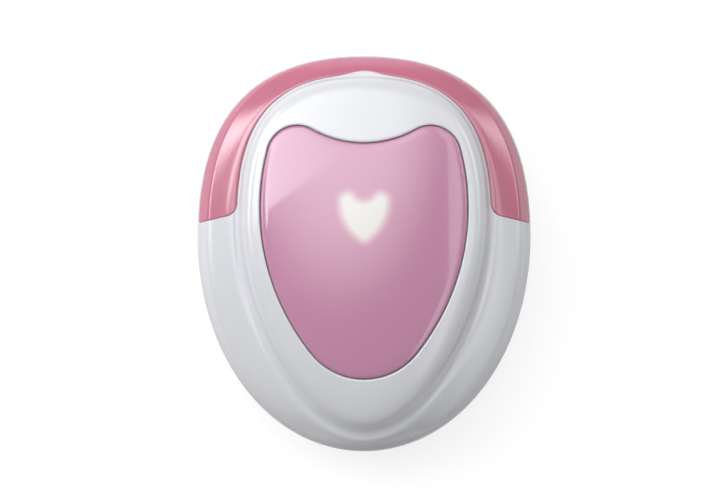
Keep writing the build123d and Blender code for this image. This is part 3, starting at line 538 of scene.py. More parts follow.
def in_space(reach: Array, height: Array, angles: Array) -> Array:
    """Points about the form's centre, with their three axes last."""
    return np.stack([reach * np.cos(angles), CENTRE[1] + reach * np.sin(angles), height], axis=-1)


# ------------------------------------------------------------------ finishes

MIX_FIRST, MIX_SECOND, MIX_RESULT = 6, 7, 2  # where a colour mix has its colours and its result
PLASTIC_GLOSS = (0.9, 1.12)  # how far cloudiness moves the roughness
METAL_GLOSS = (0.8, 1.25)
FULL_SPECULAR = 0.5
RIM_FADE = (0.2, 0.75)  # the facing values between which a rim's gloss goes
THROUGH_RADIUS = (1.0, 0.45, 0.5)
THROUGH_DEPTH = 1.2
COORDINATES = "ShaderNodeTexCoord"
NOISE = "ShaderNodeTexNoise"
BUMP = "ShaderNodeBump"
MIX = "ShaderNodeMix"
MATH = "ShaderNodeMath"
MAP_RANGE = "ShaderNodeMapRange"


@dataclass(frozen=True)
class Finish:
    """What a surface is made of."""

    name: str
    colour: str
    roughness: float

    def material(self) -> bpy.types.Material:
        """Give the material, made once and shared.

        Returns:
            The material.
        """
        made = bpy.data.materials.get(self.name)
        if made is None:
            made = bpy.data.materials.new(self.name)
            made.use_nodes = True
            self.surface(made.node_tree, made.node_tree.nodes["Principled BSDF"])
        return made

    def surface(self, tree: Tree, shader: Node) -> None:
        """Wire the look of the surface into the shader."""
        raise NotImplementedError


@dataclass(frozen=True)
class Plastic(Finish):
    """A moulded plastic: an even dye, a faint cloudiness and the slight waviness of its mould.

    A real mould's waviness is too fine to be seen at this distance. It is drawn up to a few
    millimetres wide, so that it breaks up the edges of highlights.
    """

    ior: float = 1.53
    cloud: tuple[float, float] = (0.03, 14.0)  # how far it darkens, and its size
    ripple: tuple[float, float] = (0.0035, 3.0)  # the waviness's depth and size
    coat: float = 0.0
    coat_roughness: float = 0.06
    coat_ior: float = 1.6
    rim_gloss: float = 1.0
    through: float = 0.0

    def surface(self, tree: Tree, shader: Node) -> None:
        """Wire the dye, the cloudiness, the waviness and the coat into the shader.

        Args:
            tree: the material's tree.
            shader: its surface shader.
        """
        (darkening, cloud_size), (depth, ripple_size) = self.cloud, self.ripple
        place = add_node(tree, COORDINATES).outputs["Object"]
        cloud, wave = (
            add_node(tree, NOISE, {"Vector": place, "Scale": 1 / (size * MM), "Detail": detail})
            for size, detail in ((cloud_size, 3.0), (ripple_size, 2.0))
        )
        full = linear(self.colour)
        deep = (*(c * (1 - darkening) for c in full[:3]), 1.0)
        ends = {0: cloud, MIX_FIRST: deep, MIX_SECOND: full}
        low, high = (self.roughness * share for share in PLASTIC_GLOSS)
        surface = {
            "Base Color": add_node(tree, MIX, ends, data_type="RGBA").outputs[MIX_RESULT],
            "Normal": add_node(tree, BUMP, {"Height": wave, "Distance": depth * MM}),
            "Roughness": add_node(tree, MAP_RANGE, {"Value": cloud, "To Min": low, "To Max": high}),
            "IOR": self.ior,
            "Coat Weight": self.coat,
            "Coat IOR": self.coat_ior,
            "Coat Roughness": self.coat_roughness,
        }
        if self.rim_gloss < 1:
            facing = add_node(tree, "ShaderNodeLayerWeight").outputs["Facing"]
            span = {"Value": facing, "From Min": RIM_FADE[0], "From Max": RIM_FADE[1]}
            for socket, most in (("Coat Weight", self.coat), ("Specular IOR Level", FULL_SPECULAR)):
                reach = {"To Min": most, "To Max": most * self.rim_gloss}
                surface[socket] = add_node(tree, MAP_RANGE, span | reach)
        if self.through > 0:
            surface["Subsurface Weight"] = self.through
            surface["Subsurface Radius"] = THROUGH_RADIUS
            surface["Subsurface Scale"] = THROUGH_DEPTH * MM
        feed(tree, shader, surface)


@dataclass(frozen=True)
class LitPlate(Plastic):
    """A tinted acrylic plate with the light of its heart-shaped light guide painted on: a painted
    glow, paler and faintly emissive, where the guide stands under it.
    """

    # The painted glow's colour in its middle and towards its edge, and how strongly the painted
    # glow emits.
    glow_colour: str = "E4E1DE"
    glow_rim_colour: str = "DDBCC4"
    glow_strength: float = 0.06

    def surface(self, tree: Tree, shader: Node) -> None:
        """Wire the plate's dye, then the painted glow of the light guide over it: a paler colour
        and a faint emission.

        Args:
            tree: the material's tree.
            shader: its surface shader.
        """
        super().surface(tree, shader)
        dye = shader.inputs["Base Color"].links[0].from_socket
        # Painted light: where the glow attribute is high, the base colour turns paler and the plate
        # emits a little, standing in for the light guide's light.
        glow = add_node(tree, "ShaderNodeAttribute", attribute_name="glow").outputs["Fac"]
        ends = {0: glow, MIX_FIRST: linear(self.glow_rim_colour), MIX_SECOND: linear(self.glow_colour)}
        light = add_node(tree, MIX, ends, data_type="RGBA").outputs[MIX_RESULT]
        ends = {0: glow, MIX_FIRST: dye, MIX_SECOND: light}
        lit = add_node(tree, MIX, ends, data_type="RGBA").outputs[MIX_RESULT]
        power = add_node(tree, MATH, {0: glow, 1: self.glow_strength}, operation="MULTIPLY")
        feed(tree, shader, {"Base Color": lit, "Emission Color": light, "Emission Strength": power})


@dataclass(frozen=True)
class Metal(Finish):
    """A bare or plated metal with fine brushing marks.

    Real marks are a few hundredths of a millimetre apart, too fine to show. They are drawn ten
    times as coarse.
    """

    brush: float = 0.4
    relief: float = 0.002
    stretch: tuple[float, float, float] = (0.15, 1.0, 1.0)

    def surface(self, tree: Tree, shader: Node) -> None:
        """Wire the marks into the shader.

        Args:
            tree: the material's tree.
            shader: its surface shader.
        """
        place = add_node(tree, COORDINATES).outputs["Object"]
        drawn = add_node(tree, "ShaderNodeMapping", {"Vector": place, "Scale": self.stretch})
        scale = {"Scale": 1 / (self.brush * MM), "Detail": 4.0}
        marks = add_node(tree, NOISE, {"Vector": drawn} | scale)
        low, high = (self.roughness * share for share in METAL_GLOSS)
        surface = {
            "Base Color": linear(self.colour),
            "Metallic": 1.0,
            "Roughness": add_node(tree, MAP_RANGE, {"Value": marks, "To Min": low, "To Max": high}),
            "Normal": add_node(tree, BUMP, {"Height": marks, "Distance": self.relief * MM}),
        }
        feed(tree, shader, surface)


FINISHES: dict[str, Finish] = {
    # Polished ABS under a clear coat: a clean cool white with soft streaks of light and calm rims.
    "shell_white": Plastic(
        "White_ABS_polished_moulding", "E4E5EA", 0.24, coat=0.7, coat_roughness=0.10, rim_gloss=0.2
    ),
    # ABS from a finely blasted mould: a flatter white that shows no clear reflection.
    "shell_rear": Plastic("White_ABS_satin_moulding", "EDEDEF", 0.34, ripple=(0.006, 0.8)),
    # Dyed ABS under a thick gloss coat: deep pink with broad pale highlights along its turns.
    "band_pink": Plastic(
        "Pink_ABS_gloss_moulding",
        "CE7690",
        0.30,
        coat=1.0,
        coat_roughness=0.13,
        coat_ior=1.8,
        rim_gloss=0.15,
    ),
    # Polished cast acrylic with a pink tint: an even colour under a nearly clear reflection, with
    # the light guide's glow painted on as a pale, faintly emitting heart.
    "lens_pink": LitPlate(
        "Pink_acrylic_plate_polished", "CF93B2", 0.12, ior=1.49, coat=1.0, coat_roughness=0.04
    ),
    # Smooth polyester face: a warm ivory beside the cool white of the case.
    "transducer_ivory": Plastic("Ivory_polyester_transducer_face", "E9E6DC", 0.3),
    # Satin ABS: a quiet grey whose flutes read by their shade.
    "wheel_grey": Plastic("Grey_ABS_satin_wheel", "B9BCC2", 0.38, ripple=(0.006, 0.7)),
    # Undyed ABS straight from the mould: a dull cream that shows no highlight.
    "inner_white": Plastic("Natural_ABS_matt_moulding", "E6E5E0", 0.5, ripple=(0.01, 0.6)),
    # Polycarbonate with a diffusing filler: milky, with light spreading inside it.
    "light_diffuser": Plastic("Milky_polycarbonate_light_guide", "FBEFDE", 0.3, through=0.3),
    # Solder mask over copper: a wet-looking green, darker where no copper lies under it.
    "board_green": Plastic(
        "Green_solder_mask_board", "1F6B3F", 0.3, cloud=(0.3, 2.5), ripple=(0.02, 1.2)
    ),
    # Moulded epoxy with glass filler: a grainy charcoal with a dull sheen.
    "chip_black": Plastic("Black_epoxy_chip_package", "17181A", 0.55, ripple=(0.012, 0.4)),
    # Moulded nylon: a soft black with a faint sheen.
    "plastic_black": Plastic("Black_nylon_moulding", "1C1D20", 0.42, ripple=(0.01, 0.5)),
    # Clear epoxy over phosphor: a pale yellow bead with a bright point on it.
    "led_white": Plastic("Phosphor_LED_lens", "F2E9B8", 0.2, ior=1.5, through=0.3),
    # Closed-cell foam: a dark grey with fine pits and no gloss.
    "foam_grey": Plastic(
        "Grey_closed_cell_foam", "55565A", 0.85, cloud=(0.25, 1.0), ripple=(0.08, 0.5)
    ),
    # Fired and ground ceramic: a dry, slightly speckled tan.
    "crystal_ceramic": Plastic("Fired_piezo_ceramic", "C9BFA8", 0.5, ior=1.6, cloud=(0.08, 2.0)),
    # Printed plastic film shrunk over a steel can: an even slate blue with a tight gloss.
    "cell_jacket": Plastic("Printed_film_cell_jacket", "3C4A63", 0.25, ior=1.5, coat=0.3),
    # Extruded PVC: a plain red with a waxy sheen.
    "lead_insulation": Plastic("Red_PVC_wire_insulation", "A8322B", 0.4),
    # Zinc plate on cold-formed steel: a cool grey with short bright marks.
    "screw_steel": Metal("Zinc_plated_steel_screw", "C3C4C8", 0.3),
    # Nickel plate on spring steel: a brighter, slightly warm silver.
    "contact_nickel": Metal("Nickel_plated_spring_contact", "D6D2C8", 0.22),
    # Deep-drawn aluminium: a pale silver with faint streaks along the draw.
    "can_metal": Metal("Drawn_aluminium_can", "CFD2D4", 0.3),
    # Turned steel: a darker silver with fine tool marks.
    "shaft_steel": Metal("Turned_steel_shaft", "A9AAB0", 0.28),
}


def dress(piece: Thing, slot: str) -> None:
    """Give a piece the finish of a material slot in place of what it has."""
    piece.data.materials.clear()
    piece.data.materials.append(FINISHES[slot].material())


# ------------------------------------------------------------------ sub-assemblies


@dataclass
class PinkBand:
    """The pink band round the wide end: a bent strip with soft edges and a thumb notch."""

    form: FrontForm
    sink: float = 0.3
    thickness: float = 1.5
    seat_gap: float = 0.12
    edge: Oval = Oval(33.6, 47.2, -51.0, 9.0, 0.700, 0.481)
    apex: float = 18.6
    slope: float = 0.24
    corner: float = 2.5
    rounding: float = 0.25
    notch_depth: float = 1.0
    notch_radius: float = 16.0
    peak: float = 1.0
    peak_width: float = 3.6
    cutter_rise: float = 2.0
    cutter_fall: float = 1.0
    about_wide: float = 14.0
    about_long: float = 120.0
    rows: int = 34
    columns: int = 260
    table: int = 1200
    sweep: tuple[float, float] = (-12.0, 192.0)  # degrees, past both ends of the band
    run_on: float = 0.8  # the share of the inner edge's reach that the sections run on to
    rising: int = 8  # the section's first points, whose heights only rise

    def surface(self, depth: float, grow: float, low: float) -> Array:
        """The strip's grid at one depth.

        Args:
            depth: how far it stands inside the outer form.
            grow: how far its ends and inner edge are pushed outwards.
            low: the height that its outer edge stands on.

        Returns:
            Points as rows, columns and axes, in millimetres.
        """
        angles = np.linspace(*np.radians(self.sweep), self.table)
        off_middle = (angles - math.pi / 2) * self.edge.top / self.peak_width
        inner = self.edge.inset(grow).reach(angles) + self.peak * np.exp(-(off_middle**2) / 2)
        rings = self.form.section(angles, depth, depth, Blends(), inner * self.run_on)
        foot = rings[0].copy()
        foot[1] = min(low, self.form.parting)
        rings = np.concatenate([foot[None], rings])
        numbers = np.arange(len(rings))
        shares = self.lines(self.rows, self.rounding / self.about_wide)
        reach = np.empty((len(shares), self.table))
        height = np.empty_like(reach)
        for k in range(self.table):
            line = rings[:, :, k]
            start = np.interp(low, line[: self.rising, 1], numbers[: self.rising])
            # A hair comes off the reach at each step, because interp needs it to keep falling.
            stop = np.interp(-inner[k], -line[:, 0] - HAIR * numbers, numbers)
            between = np.arange(math.floor(start) + 1, math.ceil(stop))
            steps = np.concatenate([[start], between, [stop]])
            part = np.column_stack([np.interp(steps, numbers, line[:, i]) for i in (0, 1)])
            run = np.concatenate([[0.0], np.cumsum(np.hypot(*np.diff(part, axis=0).T))])
            reach[:, k] = np.interp(shares * run[-1], run, part[:, 0])
            height[:, k] = np.interp(shares * run[-1], run, part[:, 1])
        return self.clip(angles, reach, height, inner, grow)

    def clip(
        self, angles: Array, reach: Array, height: Array, inner: Array, grow: float
    ) -> Array:
        """Cut the rows at the band's two slanted ends, with round inner corners.

        Args:
            angles: the directions of the rows' points.
            reach: the rows' reach at those angles.
            height: the rows' height at those angles.
            inner: the inner edge's reach.
            grow: how far the ends are pushed outwards.

        Returns:
            Points as rows, columns and axes.
        """
        x, y, _ = np.moveaxis(in_space(reach, height, angles), -1, 0)
        past = ((y - self.apex + grow) + self.slope * np.abs(x)) / math.hypot(1.0, self.slope)
        close = np.clip(self.corner - (reach - inner), 0.0, self.corner)
        past -= self.corner - np.sqrt(self.corner**2 - close**2)
        right = angles < math.pi / 2
        columns = self.lines(self.columns, self.rounding / self.about_long)
        points = np.empty((len(reach), len(columns), 3))
        for row in range(len(reach)):
            first = np.interp(0.0, past[row, right], angles[right])
            turns = first + (math.pi - 2 * first) * columns
            far, high = (np.interp(turns, angles, values[row]) for values in (reach, height))
            points[row] = in_space(far, high, turns)
        return points

    @staticmethod
    def lines(count: int, edge: float) -> Array:
        """Even shares from 0 to 1, with three more lines close to each end."""
        close = edge * EDGE_LINES
        return np.concatenate([close, np.linspace(0, 1, count)[1:-1], 1 - close[::-1]])

    def round_edges(self, outer: Array) -> tuple[Array, Array]:
        """Drop a grid's border so that its edges are round.

        Args:
            outer: the outer grid.

        Returns:
            The grid with its border pushed in, and the directions that its points face.
        """
        normal = np.cross(np.gradient(outer, axis=0), np.gradient(outer, axis=1))
        normal /= np.linalg.norm(normal, axis=2, keepdims=True)
        normal *= np.sign(normal[len(normal) // 2, normal.shape[1] // 2, 2])
        border = np.minimum(border_distance(outer, 0), border_distance(outer, 1))
        close = np.clip(self.rounding - border, 0.0, self.rounding)
        drop = self.rounding - np.sqrt(self.rounding**2 - close**2)
        return outer - normal * drop[:, :, None], normal

    def notch(self, points: Array) -> Array:
        """Press the thumb notch into the middle of the inner edge.

        Args:
            points: the outer grid.

        Returns:
            The grid with the notch in it.
        """
        middle = self.form.crown(0.0, self.edge.top, self.notch_depth) + self.notch_radius
        x, y, z = np.moveaxis(points, -1, 0)
        inside = self.notch_radius**2 - x**2 - (y - self.edge.top) ** 2
        bowl = middle - np.sqrt(np.maximum(inside, 0.0))
        return np.stack([x, y, np.where(inside > 0, np.minimum(z, bowl), z)], axis=-1)

    def cutter(self) -> Thing:
        """Make the solid that clears the band's seat in the front housing.

        Returns:
            The solid.
        """
        depths = (-self.cutter_rise, self.sink + self.thickness + self.seat_gap)
        low = self.form.parting - self.cutter_fall
        grids = [self.surface(depth, self.seat_gap, low) for depth in depths]
        return slab("band_cutter", *grids, Body.CASE)

    def build(self) -> Thing:
        """Make the band.

        Returns:
            The piece.
        """
        flat = self.surface(self.sink, 0.0, self.form.parting + self.seat_gap)
        outer, normal = self.round_edges(flat)
        inner = flat - normal * self.thickness
        piece = slab("Band_pink_moulding", self.notch(outer), inner, Body.CASE)
        return complete(piece, Slot.BAND, "upper_band", 40)


def border_distance(points: Array, axis: int) -> Array:
    """How far each point of a grid stands from the grid's nearer end along one axis.

    Args:
        points: the grid.
        axis: 0 to run along its columns, 1 along its rows.

    Returns:
        One distance for each point.
    """
    step = np.linalg.norm(np.diff(points, axis=axis), axis=2)
    start = np.zeros_like(np.take(step, [0], axis))
    run = np.concatenate([start, np.cumsum(step, axis=axis)], axis=axis)
    return np.minimum(run, np.take(run, [-1], axis) - run)


def slab(name: str, outer: Array, inner: Array, body: Body) -> Thing:
    """Close two grids of the same size into a solid.

    Args:
        name: the piece's name.
        outer: the outer grid.
        inner: the inner grid.
        body: what the piece moves with.

    Returns:
        The object.
    """
    rows, columns = outer.shape[:2]
    total = rows * columns
    faces = grid_faces(rows, columns, False, False)
    faces += [tuple(reversed(face)) for face in grid_faces(rows, columns, False, False, total)]
    border = [(0, c) for c in range(columns)] + [(r, columns - 1) for r in range(1, rows)]
    border += [(rows - 1, c) for c in range(columns - 2, -1, -1)]
    border += [(r, 0) for r in range(rows - 2, 0, -1)]
    numbers = [r * columns + c for r, c in border]
    for here, there in zip(numbers, numbers[1:] + numbers[:1]):
        faces.append((there, here, here + total, there + total))
    points = np.concatenate([outer.reshape(-1, 3), inner.reshape(-1, 3)])
    piece = new_piece(name, points, faces, body)
    turn_outwards(piece)
    return piece


@dataclass
class FrontHousing:
    """The white front housing, with its raised field and the heart-shaped opening in it."""

    form: FrontForm
    heart: Heart
    gap: float = 0.26
    lip: float = 0.45
    side_wall: float = 3.6
    crown_wall: float = 2.2
    seam_chamfer: float = 0.18
    inside: Blends = Blends(ridge=1.0, valley=1.0, valley_bottom=1.5, edge_wall=2.0)

    def build(self, band: PinkBand) -> Thing:
        """Make the housing.

        Args:
            band: the band whose seat is cut out of it.

        Returns:
            The piece.
        """
        angles = np.linspace(0.0, TURN, AROUND, endpoint=False)
        opening = self.heart.reach(angles, self.gap + self.lip)
        outer = self.form.section(angles, 0.0, 0.0, Blends(), opening)
        rings = list(outer)
        for turn in LIP_TURNS:
            reach = self.heart.reach(angles, self.gap + self.lip * (1 - math.sin(turn)))
            height = self.form.crown_ring(opening, angles) - self.lip * (1 - math.cos(turn))
            rings.append(np.stack([reach, height]))
        edge = self.heart.reach(angles, self.gap)
        hollow = self.form.section(angles, self.side_wall, self.crown_wall, self.inside, edge)
        rings += list(hollow[::-1])
        rings[0] = rings[0] + np.array([[-self.seam_chamfer], [0.0]])
        rings.insert(1, outer[0] + np.array([[0.0], [self.seam_chamfer]]))
        reach, height = np.moveaxis(np.array(rings), 1, 0)
        points = in_space(reach, height, angles).reshape(-1, 3)
        faces = grid_faces(len(rings), AROUND, True, True)
        piece = new_piece("Front_housing_white_moulding", points, faces, Body.CASE)
        turn_outwards(piece)
        cut(piece, band.cutter())
        return complete(piece, Slot.SHELL, "front_housing", 35)


@dataclass
class HeartPlate:
    """The glossy heart-shaped plate, with a bevelled border and a painted glow for the light under
    it.
    """

    form: FrontForm
    heart: Heart
    light: Heart
    proud: float = 0.3
    thickness: float = 2.2
    bevel: float = 1.6
    bevel_drop: float = 0.12
    rounding: float = 0.55
    under_inset: float = 2.0
    glow_softness: float = 3.2
    glow_spill: float = 0.2
    glow_middle: float = 2.0  # how far under its widest line the light is looked at from
    glow_thinning: int = 6
    centre_rings: int = 34
    centre_step: float = 0.4
    flat_rings: int = 25

    def build(self) -> Thing:
        """Make the plate.

        Returns:
            The piece.
        """
        angles = np.linspace(0.0, TURN, AROUND, endpoint=False)
        insets = (self.bevel, self.rounding, 0.0, self.under_inset)
        flat, slope_end, side, under = (self.heart.reach(angles, -inset) for inset in insets)
        centre = [np.full(AROUND, self.centre_step * (k + 1)) for k in range(self.centre_rings)]
        shares = np.linspace(0, 1, self.flat_rings)[1:]
        spread = [centre[-1] + (flat - centre[-1]) * share for share in shares]
        rows = [(reach, 0.0) for reach in centre + spread] + [(slope_end, self.bevel_drop)]
        for turn in ROUNDING_TURNS:
            reach = self.heart.reach(angles, -self.rounding * (1 - math.sin(turn)))
            rows.append((reach, self.bevel_drop + self.rounding * (1 - math.cos(turn))))
        rows += [(reach, self.thickness) for reach in (side, under, centre[-1])]
        rings = []
        for reach, low in rows:
            height = self.form.crown_ring(reach, angles, low - self.proud)
            rings.append(in_space(reach, height, angles))
        for low in (0.0, self.thickness):
            rings.append([0.0, CENTRE[1], self.form.crown(0.0, CENTRE[1], low - self.proud)])
        points = np.vstack(rings)
        faces = grid_faces(len(rows), AROUND, False, True)
        last = (len(rows) - 1) * AROUND
        for k in range(AROUND):
            after = (k + 1) % AROUND
            faces.append((len(points) - 2, after, k))
            faces.append((len(points) - 1, last + k, last + after))
        piece = new_piece("Heart_plate_pink_acrylic", points, faces, Body.BUTTON)
        self.light_up(piece, points[:, :2])
        turn_outwards(piece, merge=False)
        return complete(piece, Slot.LENS, "heart_button_lens", 50)

    def light_up(self, piece: Thing, plan: Array) -> None:
        """Store how strongly the painted glow of the light guide shows at each point.

        Args:
            piece: the plate.
            plan: its points' places in plan.
        """
        outline = self.light.outline()
        thinned = outline[None, :: self.glow_thinning]
        near = np.min(np.linalg.norm(plan[:, None] - thinned, axis=2), axis=1)
        middle = np.array([0.0, self.light.widest - self.glow_middle])
        x, y = (plan - middle).T
        border = polar_reach(outline, np.arctan2(y, x), middle)
        signed = np.where(np.hypot(x, y) < border, near, -near)
        share = (signed + self.glow_spill) / (self.glow_softness + self.glow_spill)
        share = np.clip(share, 0.0, 1.0)
        layer = piece.data.attributes.new("glow", "FLOAT", "POINT")
        layer.data.foreach_set("value", (share * share * (3 - 2 * share)).astype(np.float32))


@dataclass
class MouldedCopies:
    """Housing parts whose CAD shape is kept, with their facets joined and shaded smooth."""

    crease: float = 28.0
    parts: tuple[tuple[str, str, Body, Slot], ...] = (
        ("rear_housing", "Rear_housing_white_moulding", Body.CASE, Slot.REAR),
        ("battery_door", "Battery_door_moulding", Body.DOOR, Slot.REAR),
        ("transducer_face", "Transducer_face_moulding", Body.CASE, Slot.TRANSDUCER),
    )

    def build(self) -> list[Thing]:
        """Make a smooth copy of each part.

        Returns:
            The pieces.
        """
        made = []
        for node, name, body, slot in self.parts:
            piece = bpy.data.objects.new(name, frame["nodes"][node].data.copy())
            bpy.context.scene.collection.objects.link(piece)
            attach(piece, body.value)
            if piece.data.has_custom_normals:
                with bpy.context.temp_override(object=piece, active_object=piece):
                    bpy.ops.mesh.customdata_custom_splitnormals_clear()
            turn_outwards(piece)
            made.append(complete(piece, slot, node, self.crease))
        return made


# ------------------------------------------------------------------ pieces grown by node trees

CYLINDER = "GeometryNodeMeshCylinder"
BOOLEAN = "GeometryNodeMeshBoolean"
SET_POSITION = "GeometryNodeSetPosition"
SEPARATE = "ShaderNodeSeparateXYZ"
COMBINE = "ShaderNodeCombineXYZ"
TRANSFORM = "GeometryNodeTransform"
CUTTING = {"operation": "DIFFERENCE", "solver": "EXACT"}


@dataclass
class GrownPiece:
    """A piece that a node tree makes on a set of points, settled into a plain mesh."""

    name: str
    node: str
    body: Body
    slot: Slot
    at: tuple[tuple[float, float, float], ...]
    crease: float = 32.0
    turn: float = 0.0
    lengths: ClassVar[tuple[str, ...]] = ()

    def sizes(self) -> dict[str, Size]:
        """The tree's inputs: each length under its field's name, in metres."""
        return {length: getattr(self, length) * MM for length in self.lengths}

    def one(self, tree: Tree, given: Outputs) -> Node:
        """Wire one copy of the shape, at the origin, and give its last node."""
        raise NotImplementedError

    def build(self) -> Thing:
        """Grow the shape on each of its points.

        Returns:
            The piece.
        """
        sizes = self.sizes() | {"Turn": (self.turn, 0.0, 0.0)}
        tree = bpy.data.node_groups.new(self.name, "GeometryNodeTree")
        tree.is_modifier = True
        for side in ("INPUT", "OUTPUT"):
            tree.interface.new_socket("Geometry", in_out=side, socket_type="NodeSocketGeometry")
        for label, value in sizes.items():
            kind = "NodeSocketVector" if isinstance(value, tuple) else "NodeSocketFloat"
            tree.interface.new_socket(label, in_out="INPUT", socket_type=kind)
        given = add_node(tree, "NodeGroupInput").outputs
        turned = add_node(tree, "FunctionNodeEulerToRotation", {0: given["Turn"]})
        shape = self.one(tree, given)
        spread = {"Points": given["Geometry"], "Instance": shape, "Rotation": turned}
        copies = add_node(tree, "GeometryNodeInstanceOnPoints", spread)
        real = add_node(tree, "GeometryNodeRealizeInstances", {0: copies})
        finish = FINISHES[self.slot.value].material()
        dressed = add_node(tree, "GeometryNodeSetMaterial", {"Geometry": real, "Material": finish})
        add_node(tree, "NodeGroupOutput", {0: dressed})
        piece = new_piece(self.name, np.array(self.at, float), [], self.body)
        modifier = piece.modifiers.new("grow", "NODES")
        modifier.node_group = tree
        for item in tree.interface.items_tree:
            if item.in_out == "INPUT" and item.name in sizes:
                modifier[item.identifier] = sizes[item.name]
        settle(piece)
        turn_outwards(piece, merge=False)
        return complete(piece, self.slot, self.node, self.crease)

    @staticmethod
    def spread_out(tree: Tree, mesh: Node, place: Outputs, share: Node) -> Node:
        """Move a mesh's points away from its axis.

        Args:
            tree: the tree.
            mesh: the node that makes the mesh.
            place: the three outputs that hold a point's place.
            share: how far each moves, as a share of its distance.

        Returns:
            The node that moves them.
        """
        sideways = {
            axis: add_node(tree, MATH, {0: place[axis], 1: share}, operation="MULTIPLY")
            for axis in (0, 1)
        }
        offset = add_node(tree, COMBINE, sideways)
        return add_node(tree, SET_POSITION, {"Geometry": mesh, "Offset": offset})


@dataclass
class PanHeadScrews(GrownPiece):
    """Thread-forming screws with a domed head, a cross recess and a ringed shank."""

    lengths: ClassVar = ("head_radius", "head_height", "shank_radius", "length", "pitch", "thread")
    head_radius: float = 2.2
    head_height: float = 1.7
    shank_radius: float = 1.1
    length: float = 14.0
    pitch: float = 1.0
    thread: float = 0.12
    recess_width: float = 0.62
    recess_length: float = 2.6
    recess_depth: float = 1.0
    dome_power: float = 4.0
    dome_fall: float = 0.5  # the share of its height that the head loses at its rim
    head_points: int = 40
    head_sides: int = 3
    head_rings: int = 6
    shank_points: int = 24
    shank_rings: int = 56

    def sizes(self) -> dict[str, Size]:
        """Add the two bars that cut the recess.

        Returns:
            The tree's inputs.
        """
        bar = (self.recess_length, self.recess_width, 2 * self.recess_depth)
        long, wide, tall = (length * MM for length in bar)
        return super().sizes() | {"along": (long, wide, tall), "across": (wide, long, tall)}

    def one(self, tree: Tree, given: Outputs) -> Node:
        """Wire a domed head with its recess, and a shank whose rings swell with its length.

        Args:
            tree: the tree.
            given: the outputs that hold the sizes.

        Returns:
            The node that joins them.
        """
        radius, tall, shaft, long, pitch, thread = (given[length] for length in self.lengths)
        place = add_node(tree, SEPARATE, {0: add_node(tree, "GeometryNodeInputPosition")}).outputs

        grid = {"Vertices": self.head_points, "Side Segments": self.head_sides}
        size = {"Fill Segments": self.head_rings, "Radius": radius, "Depth": tall}
        blank = add_node(tree, CYLINDER, grid | size)
        both = {i: add_node(tree, MATH, {0: place[i], 1: 2.0}, operation="POWER") for i in (0, 1)}
        fall = add_node(tree, MATH, both, operation="ADD")
        dome = (("POWER", self.dome_power), ("MULTIPLY", self.dome_fall))
        for operation, *by in (("SQRT",), ("DIVIDE", radius), *dome):
            fall = add_node(tree, MATH, dict(enumerate([fall, *by])), operation=operation)
        kept = add_node(tree, MATH, {0: 1.0, 1: fall}, operation="SUBTRACT")
        level = add_node(tree, MATH, {0: tall, 1: 0.5, 2: place[2]}, operation="MULTIPLY_ADD")
        domed = add_node(tree, MATH, {0: level, 1: kept}, operation="MULTIPLY")
        spot = add_node(tree, COMBINE, {0: place[0], 1: place[1], 2: domed})
        head = add_node(tree, SET_POSITION, {"Geometry": blank, "Position": spot})
        lift = add_node(tree, COMBINE, {2: tall})
        for label in ("along", "across"):
            bar = add_node(tree, "GeometryNodeMeshCube", {"Size": given[label]})
            raised = add_node(tree, TRANSFORM, {"Geometry": bar, "Translation": lift})
            head = add_node(tree, BOOLEAN, {0: head, 1: raised}, **CUTTING)

        grid = {"Vertices": self.shank_points, "Side Segments": self.shank_rings}
        shank = add_node(tree, CYLINDER, grid | {"Radius": shaft, "Depth": long})
        groove = place[2]
        wave = (("MULTIPLY", TURN), ("DIVIDE", pitch), ("SINE",), ("SUBTRACT", 1.0))
        depth = (("MULTIPLY", 0.5), ("MULTIPLY", thread), ("DIVIDE", shaft))
        for operation, *by in wave + depth:
            groove = add_node(tree, MATH, dict(enumerate([groove, *by])), operation=operation)
        ringed = self.spread_out(tree, shank, place, groove)
        middle = add_node(tree, MATH, {0: long, 1: -0.5}, operation="MULTIPLY")
        under = add_node(tree, COMBINE, {2: middle})
        hung = add_node(tree, TRANSFORM, {"Geometry": ringed, "Translation": under})
        screw = add_node(tree, "GeometryNodeJoinGeometry", {0: head})
        feed(tree, screw, {0: hung})
        return screw


